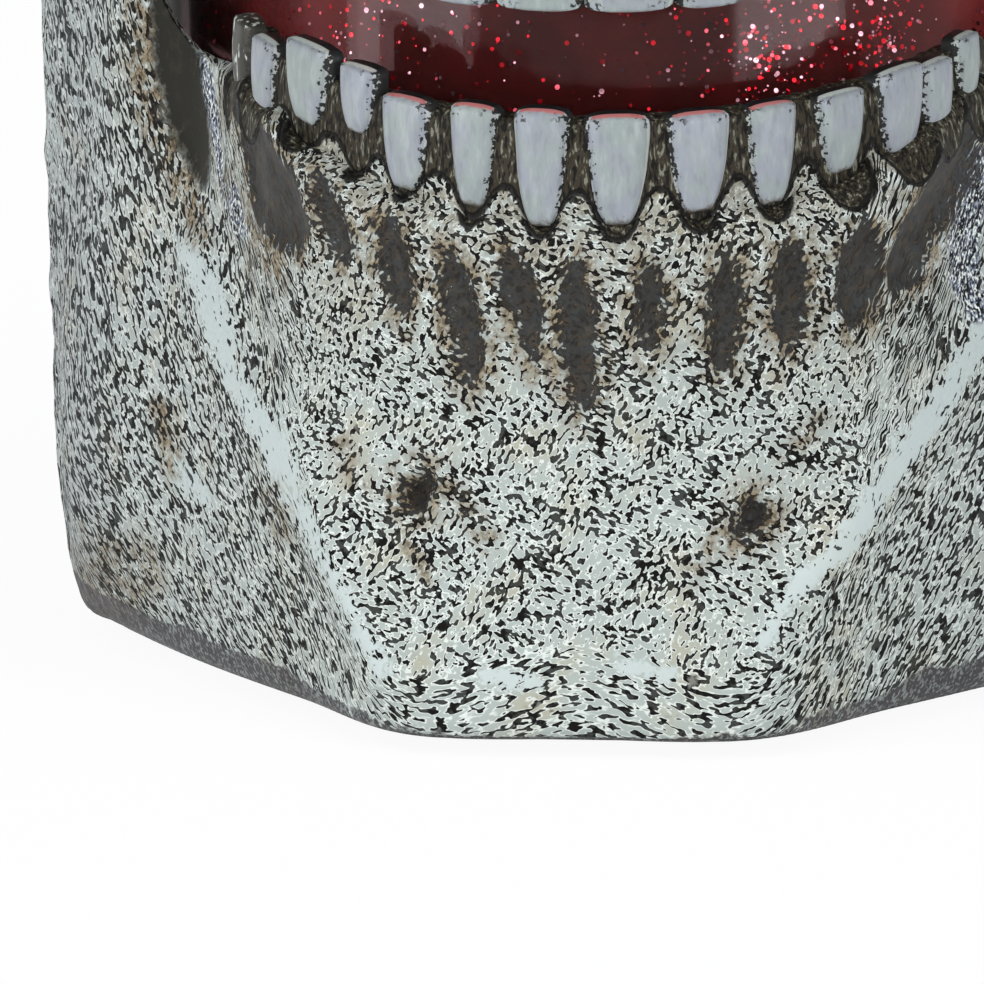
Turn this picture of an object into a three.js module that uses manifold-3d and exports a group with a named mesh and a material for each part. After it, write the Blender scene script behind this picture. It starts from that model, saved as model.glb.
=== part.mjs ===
// Table skull with a glitter globe inside: a two-part cast head on a jaw and a neck housing,
// with a liquid-filled globe, a magnetic stirrer, lamps and a battery compartment.
// Millimetres, +Z up. The face looks along -Y. The origin is on the table, under the middle.

import * as THREE from 'three';
import { mergeVertices } from 'three/addons/utils/BufferGeometryUtils.js';
import Module from 'manifold-3d';

const wasm = await Module();
wasm.setup();

// Driving dimensions of the whole object
const skullWidth = 160;
const skullDepth = 200;
const skullHeight = 270;
const shellWall = 4;
const fitGap = 0.3;
const cutOverrun = 5;
const halfWidth = skullWidth / 2;
const halfDepth = skullDepth / 2;

// Feet and base plate
const foot = { radius: 5, height: 1.2 };
const plate = { thickness: 3, jawClearance: 1.6, low: foot.height + fitGap };
plate.top = plate.low + plate.thickness;
const floorZ = plate.low;
const seatZ = plate.top + fitGap;

// Screws: pan heads on plain shanks, one size for the whole object
const screw = { shank: 1.5, head: 2.8, headHeight: 1.3, length: 12, bossRadius: 5 };
screw.bore = screw.shank + fitGap;
screw.headBore = screw.head + fitGap;

// Neck housing: a drum under the globe, with a rear wall that carries the back of the head
const drum = { radius: 54, wall: 3, centreY: 6, deckTop: 52, deckThickness: 3, footReach: 37 };
drum.flare = 1.5;
drum.flareHeight = 12;
drum.deckLow = drum.deckTop - drum.deckThickness;
drum.inner = drum.radius - drum.wall;
drum.bossReach = drum.inner - 4 * screw.bossRadius / 5;
const rearWall = { height: 69, startY: 10, flangeReach: 2.5, flangeDrop: 5, flangeHeight: 5 };
rearWall.top = drum.deckTop + rearWall.height;
rearWall.flangeTop = rearWall.top - rearWall.flangeDrop;
const pad = { faceY: 50, height: 24, ledge: 3 };
pad.innerY = pad.faceY - drum.wall;
pad.top = drum.deckTop + pad.height;

// Globe, and what closes, carries and stirs it
const globe = {
  centreY: -10, neckRadius: 34, radius: 50, bellyRadius: 54, wall: 2.2,
  neckDrop: 2.7, straightHeight: 67.4, height: 167.4, headClearance: 2,
};
const cushion = { thickness: 2, innerMargin: 2.4, outerMargin: 4 };
globe.neckLow = drum.deckLow - globe.neckDrop;
globe.shoulder = drum.deckTop + cushion.thickness + 2 * fitGap;
globe.straightTop = globe.shoulder + globe.straightHeight;
globe.top = globe.shoulder + globe.height;
const fluid = { airHeight: 16 };
fluid.level = globe.top - fluid.airHeight;
const stopper = { flangeThickness: 2, plugHeight: 4.2, grooveDepth: 2.2, grooveHeight: 2.4 };
stopper.flangeTop = globe.neckLow - fitGap;
stopper.low = stopper.flangeTop - stopper.flangeThickness;
stopper.plugRadius = globe.neckRadius - globe.wall - fitGap;
stopper.top = stopper.flangeTop + stopper.plugHeight;
const pin = { radius: 1, height: 4.4, foot: 1.8 };
const impeller = { hubRadius: 4, bladeReach: 24, bladeThickness: 1.4, blades: 4, height: 3.6 };
impeller.low = stopper.top + fitGap;

// Stirrer drive, lamps and their board
const mount = { outer: 16, flangeRadius: 21, flangeHeight: 3, floorThickness: 4.9 };
const motor = { radius: 12, length: 24, bore: 1.4, nose: 3.2, noseHeight: 1 };
motor.low = seatZ + mount.floorThickness + fitGap;
const magnet = { radius: 11, thickness: 4.6, shaftRadius: 1, shaftDepth: 8, airGap: 0.9 };
magnet.top = stopper.low - magnet.airGap;
magnet.low = magnet.top - magnet.thickness;
const board = { inner: 12.6, outer: 30, thickness: 1.6, rise: 1.6 };
board.low = motor.low + motor.length + board.rise;
mount.top = board.low - fitGap;
board.top = board.low + board.thickness;
const led = { radius: 2.5, height: 5, circle: 23, count: 4, rimExtra: 0.4, rimHeight: 1 };

// Battery compartment: three cells, one above another, behind a hinged door
const cell = { radius: 7.25, length: 50.5, nubRadius: 2.7, nubLength: 1.2, count: 3, spacing: 0.2 };
const contact = { thickness: 0.5, springLength: 3.6, springRadius: 3.4, springTip: 2.2, halfWidth: 5.8 };
const bay = { wall: 1.5, roomY: 15.6 };
bay.halfWidth = (cell.length + contact.springLength + 2 * contact.thickness + 4 * fitGap) / 2;
bay.frontY = pad.innerY - fitGap - bay.roomY;
bay.pitch = 2 * cell.radius + cell.spacing;
const door = { thickness: 2.4, barrelRadius: 2.2, pinRadius: 1, earLength: 3.4, lintel: 1.4 };
door.halfWidth = bay.halfWidth - 2 * fitGap;
door.axisY = pad.faceY - door.barrelRadius;
door.axisZ = seatZ + 2 * fitGap + door.barrelRadius;
door.top = drum.deckLow - door.lintel;
door.gripHeight = 4;
door.gripDepth = 1;

// Slide switch above the door
const sliding = {
  rise: 10, travel: 6, stemWidth: 3, stemHeight: 3, capWidth: 9, capHeight: 7, capDepth: 2.4,
  grooveDepth: 0.7, grooveWidth: 0.6, grooves: 3, bodyWidth: 20, bodyHeight: 12, bodyDepth: 5.4,
};
sliding.centreZ = drum.deckTop + sliding.rise;

// Wires between the contacts, the switch and the lamp board
const wire = { radius: 0.8, hole: 2.2, sides: 5, steps: 10 };

// Jaw: half its outer width at the ramus, its depth, its height to the notch, and the lip of
// bone in front of the teeth
const jaw = { halfWidth: 62, depth: 100, height: 100, frontY: -99, lip: 3.5 };

// Tooth rows: labial half-ellipse, heights of tips and gum line, and how far the back ones rise
const rowFrontY = jaw.frontY + jaw.lip;
const lowerRow = {
  reachX: 39.5, reachY: 47, frontY: rowFrontY, gum: 52.6, tip: 64.8, root: 47, gumRise: 8, tipRise: 4.5,
  barThickness: 5, rootThickness: 2.6, crownProud: 0.6, endShare: 0.83, dip: 1.4,
};
const upperRow = {
  reachX: 38.6, reachY: 46, frontY: rowFrontY, gum: 88.4, tip: 75, root: 95, gumRise: 3, tipRise: 3,
  barThickness: 5, rootThickness: 2.6, crownProud: 0.6, endShare: 0.9, dip: 3.4,
};

// Each tooth: place along the row as a share of a quarter turn, width as a share of the row's reach
const lowerToothShares = [
  [-0.78, 0.13], [-0.665, 0.13], [-0.525, 0.155], [-0.4, 0.135], [-0.302, 0.145], [-0.181, 0.12],
  [-0.07, 0.137], [0.056, 0.165], [0.189, 0.162], [0.313, 0.142], [0.44, 0.165], [0.569, 0.18],
  [0.655, 0.15], [0.75, 0.15],
];
const upperToothShares = [
  [0.076, 0.238], [0.213, 0.186], [0.34, 0.197], [0.461, 0.187], [0.576, 0.181], [0.694, 0.212],
  [0.82, 0.2],
];
// Right half of a crown's outline: shares of its width and of the height from gum to tip
const crownShares = [[0.2, 0], [0.46, 0.48], [0.48, 1]];

// Head masses in shares of half the width, half the depth and the height: centre, then radii
const braincaseShares = [
  [0, 0.2, 0.696, 0.985, 0.79, 0.3],
  [0, -0.31, 0.719, 0.79, 0.62, 0.237],
  [0, 0.55, 0.563, 0.675, 0.415, 0.141],
  [0, 0.1, 0.474, 0.725, 0.6, 0.096],
];
const templeShares = [1, -0.42, 0.622, 0.325, 0.3, 0.126];
const faceMassShares = [
  [0.6, -0.7, 0.485, 0.175, 0.12, 0.044],
  [0.34, -0.78, 0.459, 0.275, 0.17, 0.074],
  [0, -0.84, 0.393, 0.275, 0.13, 0.059],
  [0.71, 0.2, 0.437, 0.14, 0.14, 0.074],
  [0.775, -0.08, 0.496, 0.14, 0.14, 0.033],
];
// Bars of the face: two ends, each a place and a radius, the radius a share of half the width
const faceBarShares = [
  [[0.1, -0.91, 0.656, 0.094], [0.575, -0.74, 0.637, 0.075]],
  [[0.61, -0.72, 0.637, 0.075], [0.64, -0.68, 0.519, 0.075]],
  [[0.675, -0.66, 0.485, 0.072], [0.9, -0.38, 0.493, 0.072]],
  [[0.9, -0.38, 0.493, 0.072], [0.86, -0.04, 0.511, 0.066]],
  [[0, -0.84, 0.622, 0.075], [0, -0.93, 0.544, 0.07]],
  [[0.11, -0.85, 0.611, 0.075], [0.24, -0.82, 0.463, 0.075]],
];
const noseShares = [
  [0.075, -0.96, 0.422, 0.1, 0.34, 0.035],
  [0, -0.96, 0.474, 0.081, 0.34, 0.048],
];
const blend = { braincase: 22, temple: 12, face: 8, cut: 4 };

// Eye socket in the same shares: its middle, its half width and half height, its rim and its floor
const orbitShares = { x: 0.3375, z: 0.5685, wide: 0.219, tall: 0.0574, corner: 0.1375 };
orbitShares.rim = -0.92;
orbitShares.floor = -0.48;
const orbit = {
  centreX: orbitShares.x * halfWidth, centreZ: orbitShares.z * skullHeight,
  halfWide: orbitShares.wide * halfWidth, halfTall: orbitShares.tall * skullHeight,
  corner: orbitShares.corner * halfWidth, tilt: 0.2, taper: 0.12,
  rimY: orbitShares.rim * halfDepth, floorY: orbitShares.floor * halfDepth,
};
// The band of bone that holds the upper teeth: its thickness outside and inside the row, its top
// and its ends
const alveolusShares = { top: 0.415, end: -0.47 };
const alveolus = { outer: 1.6, inner: 9.5 };
alveolus.top = alveolusShares.top * skullHeight;
alveolus.endY = alveolusShares.end * halfDepth;

// Split between the face and the back of the head, and the posts of its four screws
const split = { y: 12, seatDepth: 3.9 };
const shellPostShares = [0.62, 0.8];
const postInsetShare = 0.6;

// Mesh fineness, and where it changes
const grain = { x: 9.2, faceY: 6.8, sideY: 15, faceZ: 6.9, crownZ: 15, back: 13.5, backZ: 13, hollow: 20 };
const grainEdgeShares = { faceY: -0.5, crownZ: 0.674, low: 0.31 };
const grainEdge = {
  faceY: grainEdgeShares.faceY * halfDepth, crownZ: grainEdgeShares.crownZ * skullHeight,
  low: Math.min(upperRow.gum - cutOverrun, grainEdgeShares.low * skullHeight) - grain.faceZ,
  front: Math.min(-halfDepth, upperRow.frontY - alveolus.outer) - grain.faceY,
};
const rounds = { large: 24, medium: 12, small: 8 };
const rowSteps = 7;
const surfaceSteps = 3;
const halvings = 30;
const crownLip = 0.5;
const weldGap = 0.001;
const cornerMargin = 0.02;

const sides = [-1, 1];

// Solids and meshes

// The same mesh with corners that lie together made one, and the faces that this flattens dropped
function welded(geometry) {
  const merged = mergeVertices(geometry, weldGap);
  const loose = merged.index.array;
  const kept = [];
  for (let i = 0; i < loose.length; i += 3) {
    const [a, b, c] = [loose[i], loose[i + 1], loose[i + 2]];
    if (a !== b && b !== c && c !== a) kept.push(a, b, c);
  }
  merged.setIndex(kept);
  return merged;
}

// A closed mesh as a solid, its faces turned outwards
function solidOf(geometry) {
  const bare = new THREE.BufferGeometry();
  bare.setAttribute('position', geometry.getAttribute('position').clone());
  bare.setIndex(geometry.index ? geometry.index.clone() : null);
  const whole = welded(bare);
  const places = whole.getAttribute('position').array;
  const faces = new Uint32Array(whole.index.array);
  if (signedVolume(places, faces) < 0) faces.reverse();
  const mesh = new wasm.Mesh({ numProp: 3, vertProperties: new Float32Array(places), triVerts: faces });
  return new wasm.Manifold(mesh);
}

function signedVolume(places, corners) {
  const [a, b, c] = [new THREE.Vector3(), new THREE.Vector3(), new THREE.Vector3()];
  let volume = 0;
  for (let i = 0; i < corners.length; i += 3) {
    a.fromArray(places, 3 * corners[i]);
    b.fromArray(places, 3 * corners[i + 1]);
    c.fromArray(places, 3 * corners[i + 2]);
    volume += a.dot(b.cross(c)) / 6;
  }
  return volume;
}

// The largest connected set of faces: a cut can leave crumbs beside the piece
function largestBody(corners, cornerCount) {
  const leader = Array.from({ length: cornerCount }, (_, i) => i);
  const find = (i) => {
    while (leader[i] !== i) i = leader[i] = leader[leader[i]];
    return i;
  };
  for (let i = 0; i < corners.length; i += 3) {
    leader[find(corners[i + 1])] = find(corners[i]);
    leader[find(corners[i + 2])] = find(corners[i]);
  }
  const bodies = new Map();
  for (let i = 0; i < corners.length; i += 3) {
    const body = find(corners[i]);
    if (!bodies.has(body)) bodies.set(body, []);
    bodies.get(body).push(corners[i], corners[i + 1], corners[i + 2]);
  }
  return [...bodies.values()].reduce((a, b) => (b.length > a.length ? b : a));
}

function geometryOf(solid) {
  const { vertProperties, numProp, triVerts } = solid.getMesh();
  const whole = new THREE.BufferGeometry();
  whole.setAttribute('position', new THREE.BufferAttribute(vertProperties, numProp));
  whole.setIndex(largestBody(triVerts, vertProperties.length / numProp));
  const geometry = welded(whole.toNonIndexed());
  geometry.computeVertexNormals();
  return geometry;
}

const joined = (solids) => solids.reduce((whole, next) => whole.add(next));

function box(lowX, highX, lowY, highY, lowZ, highZ) {
  const geometry = new THREE.BoxGeometry(highX - lowX, highY - lowY, highZ - lowZ);
  geometry.translate((lowX + highX) / 2, (lowY + highY) / 2, (lowZ + highZ) / 2);
  return solidOf(geometry);
}

// Turned about a vertical axis through (x, y): profile points are [radius, z], anticlockwise
function turned(profile, x, y, segments) {
  const points = profile.map(([radius, z]) => new THREE.Vector2(radius, z));
  const geometry = new THREE.LatheGeometry(points, segments);
  geometry.rotateX(Math.PI / 2);
  geometry.translate(x, y, 0);
  return solidOf(geometry);
}

const disc = (radius, low, high, x, y, segments) =>
  turned([[0, low], [radius, low], [radius, high], [0, high]], x, y, segments);

const ring = (inner, outer, low, high, x, y, segments) =>
  turned([[inner, low], [outer, low], [outer, high], [inner, high], [inner, low]], x, y, segments);

// A round bar along Y or X
function barAlongY(radius, low, high, x, z, segments) {
  const geometry = new THREE.CylinderGeometry(radius, radius, high - low, segments);
  geometry.translate(x, (low + high) / 2, z);
  return solidOf(geometry);
}

function barAlongX(radius, low, high, y, z, segments, endRadius = radius) {
  const geometry = new THREE.CylinderGeometry(endRadius, radius, high - low, segments);
  geometry.rotateZ(-Math.PI / 2);
  geometry.translate((low + high) / 2, y, z);
  return solidOf(geometry);
}

function egg(x, y, z, radiusX, radiusY, radiusZ, segments) {
  const geometry = new THREE.SphereGeometry(1, segments, Math.round(segments / Math.SQRT2));
  geometry.rotateX(Math.PI / 2);
  geometry.scale(radiusX, radiusY, radiusZ);
  geometry.translate(x, y, z);
  return solidOf(geometry);
}

// Distance fields: negative inside

const smoothJoin = (a, b, k) => {
  const h = THREE.MathUtils.clamp(0.5 + (0.5 * (b - a)) / k, 0, 1);
  return b + (a - b) * h - k * h * (1 - h);
};
const smoothCut = (a, b, k) => -smoothJoin(-a, b, k);

function eggDistance(x, y, z, [cx, cy, cz, rx, ry, rz]) {
  const [px, py, pz] = [x - cx * halfWidth, y - cy * halfDepth, z - cz * skullHeight];
  const [ax, ay, az] = [rx * halfWidth, ry * halfDepth, rz * skullHeight];
  const near = Math.hypot(px / ax, py / ay, pz / az);
  const slope = Math.hypot(px / ax ** 2, py / ay ** 2, pz / az ** 2);
  return slope === 0 ? -Math.min(ax, ay, az) : (near * (near - 1)) / slope;
}

function barDistance(x, y, z, [from, to]) {
  const start = [from[0] * halfWidth, from[1] * halfDepth, from[2] * skullHeight];
  const run = [to[0] * halfWidth - start[0], to[1] * halfDepth - start[1], to[2] * skullHeight - start[2]];
  const off = [x - start[0], y - start[1], z - start[2]];
  const along = off[0] * run[0] + off[1] * run[1] + off[2] * run[2];
  const t = THREE.MathUtils.clamp(along / (run[0] ** 2 + run[1] ** 2 + run[2] ** 2), 0, 1);
  const gap = Math.hypot(off[0] - t * run[0], off[1] - t * run[1], off[2] - t * run[2]);
  return gap - (from[3] + t * (to[3] - from[3])) * halfWidth;
}

// Braincase: four masses run into one another, hollowed at the temples
function braincase(x, y, z) {
  const side = Math.abs(x);
  const masses = braincaseShares.map((mass) => eggDistance(side, y, z, mass));
  const whole = masses.reduce((a, b) => smoothJoin(a, b, blend.braincase));
  return smoothCut(whole, eggDistance(side, y, z, templeShares), blend.temple);
}

// The band of bone that holds the upper teeth
function alveolar(x, y, z) {
  const centreY = upperRow.frontY + upperRow.reachY;
  const round = Math.hypot(x / upperRow.reachX, (y - centreY) / upperRow.reachY);
  const outward = (round - 1) * upperRow.reachX;
  const band = Math.max(outward - alveolus.outer, -alveolus.inner - outward);
  return Math.max(band, upperRow.gum - cutOverrun - z, z - alveolus.top, y - alveolus.endY);
}

function orbitDistance(side, y, z) {
  const offX = side - orbit.centreX;
  const offZ = z - orbit.centreZ;
  const turnX = offX * Math.cos(orbit.tilt) - offZ * Math.sin(orbit.tilt);
  const turnZ = offX * Math.sin(orbit.tilt) + offZ * Math.cos(orbit.tilt);
  const narrowing = orbit.taper * (y - orbit.rimY);
  const overX = Math.max(Math.abs(turnX) - orbit.halfWide + orbit.corner, 0);
  const overZ = Math.max(Math.abs(turnZ) - orbit.halfTall + orbit.corner, 0);
  return Math.max(Math.hypot(overX, overZ) - orbit.corner + narrowing, y - orbit.floorY);
}

function head(x, y, z) {
  const side = Math.abs(x);
  const masses = faceMassShares.map((mass) => eggDistance(side, y, z, mass));
  const bars = faceBarShares.map((bar) => barDistance(side, y, z, bar));
  const face = [...masses, ...bars, alveolar(side, y, z)].reduce((a, b) => smoothJoin(a, b, blend.face));
  const whole = smoothJoin(braincase(x, y, z), face, blend.face);
  const nose = Math.min(...noseShares.map((mass) => eggDistance(side, y, z, mass)));
  return smoothCut(smoothCut(whole, orbitDistance(side, y, z), blend.cut), nose, blend.cut);
}

const hollow = (x, y, z) => braincase(x, y, z) + shellWall;

// Evenly spread marks from one number to another, no wider apart than a step
function marks(from, to, step) {
  const count = Math.ceil((to - from) / step);
  return Array.from({ length: count + 1 }, (_, i) => from + ((to - from) * i) / count);
}

// A place moved down or up the field's slope until the field is nearly zero there
function ontoSurface(field, place) {
  const reach = fitGap;
  for (let i = 0; i < surfaceSteps; i++) {
    const { x, y, z } = place;
    const value = field(x, y, z);
    const slope = new THREE.Vector3(
      field(x + reach, y, z) - field(x - reach, y, z),
      field(x, y + reach, z) - field(x, y - reach, z),
      field(x, y, z + reach) - field(x, y, z - reach),
    ).divideScalar(2 * reach);
    if (slope.lengthSq() === 0) break;
    place.addScaledVector(slope, -value / slope.lengthSq());
  }
  return place;
}

// Fills grid corners where two parts of a solid, or two hollows, would meet at an edge or a
// corner only, so that no edge of the skin has four faces
function fillPinches(values, at, [nx, ny, nz]) {
  const steps = [[1, 0, 0], [0, 1, 0], [0, 0, 1]];
  const fillNearest = (places) => {
    const outside = places.filter((place) => values[place] >= 0);
    values[outside.reduce((a, b) => (values[b] < values[a] ? b : a))] = -fitGap;
  };
  const pinched = (i, j, k) => {
    for (let axis = 0; axis < 3; axis++) {
      const [u, v] = [steps[(axis + 1) % 3], steps[(axis + 2) % 3]];
      const square = [[0, 0], [1, 0], [1, 1], [0, 1]].map(([p, q]) =>
        at(i + p * u[0] + q * v[0], j + p * u[1] + q * v[1], k + p * u[2] + q * v[2]));
      const [a, b, c, d] = square.map((place) => values[place] < 0);
      if (a === c && b === d && a !== b) return square;
    }
    const cube = Array.from({ length: 8 }, (_, n) => at(i + (n & 1), j + ((n >> 1) & 1), k + (n >> 2)));
    const inside = cube.map((place) => values[place] < 0);
    const odd = (n) => inside.every((here, m) => (here === inside[n]) === (m === n || m === 7 - n));
    return [0, 1, 2, 3].some(odd) ? cube : null;
  };
  for (let changed = true; changed;) {
    changed = false;
    for (let k = 0; k < nz - 1; k++) {
      for (let j = 0; j < ny - 1; j++) {
        for (let i = 0; i < nx - 1; i++) {
          const places = pinched(i, j, k);
          if (places === null) continue;
          fillNearest(places);
          changed = true;
        }
      }
    }
  }
}

// The skin of a field where it is zero: one corner in each grid cell that it crosses,
// and one four-sided face across each grid edge that it crosses
function skinOf(field, xs, ys, zs) {
  const [nx, ny, nz] = [xs.length, ys.length, zs.length];
  const at = (i, j, k) => (k * ny + j) * nx + i;
  const values = new Float64Array(nx * ny * nz);
  zs.forEach((z, k) => ys.forEach((y, j) => xs.forEach((x, i) => { values[at(i, j, k)] = field(x, y, z); })));
  fillPinches(values, at, [nx, ny, nz]);
  const corners = [];
  const cornerOf = new Map();
  for (let k = 0; k < nz - 1; k++) {
    for (let j = 0; j < ny - 1; j++) {
      for (let i = 0; i < nx - 1; i++) addCorner(i, j, k);
    }
  }

  function addCorner(i, j, k) {
    const sum = new THREE.Vector3();
    let crossings = 0;
    for (let edge = 0; edge < 12; edge++) {
      const axis = edge >> 2;
      const low = [i, j, k];
      low[(axis + 1) % 3] += edge & 1;
      low[(axis + 2) % 3] += (edge >> 1) & 1;
      const high = [...low];
      high[axis] += 1;
      const [a, b] = [values[at(...low)], values[at(...high)]];
      if (a < 0 === b < 0) continue;
      const from = new THREE.Vector3(xs[low[0]], ys[low[1]], zs[low[2]]);
      const to = new THREE.Vector3(xs[high[0]], ys[high[1]], zs[high[2]]);
      sum.add(from.lerp(to, a / (a - b)));
      crossings += 1;
    }
    if (crossings === 0) return;
    cornerOf.set(at(i, j, k), corners.length / 3);
    const place = ontoSurface(field, sum.divideScalar(crossings));
    const clampTo = (value, line, index) =>
      THREE.MathUtils.clamp(value, line[index] + cornerMargin, line[index + 1] - cornerMargin);
    corners.push(clampTo(place.x, xs, i), clampTo(place.y, ys, j), clampTo(place.z, zs, k));
  }

  const faces = [];
  for (let k = 1; k < nz - 1; k++) {
    for (let j = 1; j < ny - 1; j++) {
      for (let i = 1; i < nx - 1; i++) {
        const here = values[at(i, j, k)] < 0;
        const steps = [[1, 0, 0], [0, 1, 0], [0, 0, 1]];
        steps.forEach((step, axis) => {
          if (here === values[at(i + step[0], j + step[1], k + step[2])] < 0) return;
          const [u, v] = [steps[(axis + 1) % 3], steps[(axis + 2) % 3]];
          const around = [[0, 0], [1, 0], [1, 1], [0, 1]].map(([p, q]) =>
            cornerOf.get(at(i - p * u[0] - q * v[0], j - p * u[1] - q * v[1], k - p * u[2] - q * v[2])));
          const [a, b, c, d] = here ? around : around.reverse();
          faces.push(a, b, c, c, d, a);
        });
      }
    }
  }
  const geometry = new THREE.BufferGeometry();
  geometry.setAttribute('position', new THREE.Float32BufferAttribute(corners, 3));
  geometry.setIndex(faces);
  return geometry;
}

// Tooth rows

const rowPoint = (row, share, inset) => {
  const angle = (share * Math.PI) / 2;
  const centreY = row.frontY + row.reachY;
  return new THREE.Vector2(
    (row.reachX - inset) * Math.sin(angle),
    centreY - (row.reachY - inset) * Math.cos(angle),
  );
};

// Back teeth stand higher: every height of a row rises towards its ends
function settled(geometry, row) {
  const place = geometry.getAttribute('position');
  for (let i = 0; i < place.count; i++) {
    const back = Math.min((place.getY(i) - row.frontY) / row.reachY, 1);
    const share = THREE.MathUtils.clamp((place.getZ(i) - row.gum) / (row.tip - row.gum), 0, 1);
    const rise = row.gumRise + (row.tipRise - row.gumRise) * share;
    place.setZ(i, place.getZ(i) + rise * (1 - (1 - back) ** 2));
  }
  return geometry;
}

// A horseshoe between two insets from the row's outer line and between two heights, its ends
// lengthened by a share of a quarter turn
function horseshoe(row, outerInset, innerInset, low, high, overShare = 0) {
  const shares = marks(-row.endShare, row.endShare, row.endShare / rowSteps);
  if (overShare > 0) {
    shares.unshift(-row.endShare - overShare);
    shares.push(row.endShare + overShare);
  }
  const corners = shares.flatMap((share) => {
    const outer = rowPoint(row, share, outerInset);
    const inner = rowPoint(row, share, innerInset);
    return [outer.x, outer.y, low, outer.x, outer.y, high, inner.x, inner.y, high, inner.x, inner.y, low];
  });
  const end = 4 * (shares.length - 1);
  const faces = [0, 1, 2, 2, 3, 0, end + 2, end + 1, end, end, end + 3, end + 2];
  for (let i = 0; i < end; i += 4) {
    for (let j = 0; j < 4; j++) {
      const [near, far] = [i + j, i + ((j + 1) % 4)];
      faces.push(near, near + 4, far + 4, far + 4, far, near);
    }
  }
  const geometry = new THREE.BufferGeometry();
  geometry.setAttribute('position', new THREE.Float32BufferAttribute(corners, 3));
  geometry.setIndex(faces);
  return solidOf(settled(geometry, row));
}

function crown(row, share, widthShare) {
  const bevel = row.crownProud + crownLip;
  const width = widthShare * row.reachX - 2 * bevel;
  const height = Math.abs(row.tip - row.gum) - 2 * bevel;
  const half = crownShares.map(([x, y]) => new THREE.Vector2(x * width, y * height));
  const otherHalf = half.map((point) => new THREE.Vector2(-point.x, point.y)).reverse();
  const depth = row.barThickness - 2 * bevel;
  const geometry = new THREE.ExtrudeGeometry(new THREE.Shape([...half, ...otherHalf]), {
    depth, bevelThickness: bevel, bevelSize: bevel, bevelSegments: 1,
  });
  geometry.translate(0, bevel, row.crownProud - bevel - depth + row.barThickness / 2);
  geometry.rotateX(Math.PI / 2);
  if (row.tip < row.gum) geometry.rotateY(Math.PI);
  const angle = (share * Math.PI) / 2;
  geometry.rotateZ(Math.atan2(row.reachY * Math.sin(angle), row.reachX * Math.cos(angle)));
  const middle = rowPoint(row, share, row.barThickness / 2);
  geometry.translate(middle.x, middle.y, row.gum);
  return solidOf(settled(geometry, row));
}

function toothRow(row, teeth) {
  const towardTip = Math.sign(row.tip - row.gum);
  const barEnd = row.tip - towardTip * row.dip;
  const [barLow, barHigh] = [Math.min(row.gum, barEnd), Math.max(row.gum, barEnd)];
  const [rootLow, rootHigh] = [Math.min(row.root, row.gum), Math.max(row.root, row.gum)];
  const rootInset = (row.barThickness - row.rootThickness) / 2;
  const bar = horseshoe(row, 0, row.barThickness, barLow, barHigh);
  const lap = fitGap * towardTip;
  const root = horseshoe(row, rootInset, rootInset + row.rootThickness,
    Math.min(rootLow, rootLow + lap), Math.max(rootHigh, rootHigh + lap));
  return joined([bar, root, ...teeth.map(([share, width]) => crown(row, share, width))]);
}

// What a tooth row needs out of the bone that holds it: a trimmed gum line and a root slot,
// each a little longer than the row
const trimOverShare = 0.07;
const slotOverShare = 0.01;

function rowSeat(row) {
  const towardTip = Math.sign(row.tip - row.gum);
  const margin = row.barThickness + row.rootThickness;
  const gumCut = row.gum - fitGap * towardTip;
  const past = row.tip + towardTip * cutOverrun;
  const edges = [-margin, 0, row.barThickness, row.barThickness + margin];
  const trims = [0, 1, 2].map((i) => horseshoe(row, edges[i], edges[i + 1],
    Math.min(gumCut, past), Math.max(gumCut, past), trimOverShare));
  const rootInset = (row.barThickness - row.rootThickness) / 2 - fitGap;
  const rootEnd = row.root - fitGap * towardTip;
  const slot = horseshoe(row, rootInset, rootInset + row.rootThickness + 2 * fitGap,
    Math.min(rootEnd, row.gum), Math.max(rootEnd, row.gum), slotOverShare);
  return joined([...trims, slot]);
}

// Jaw

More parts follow.
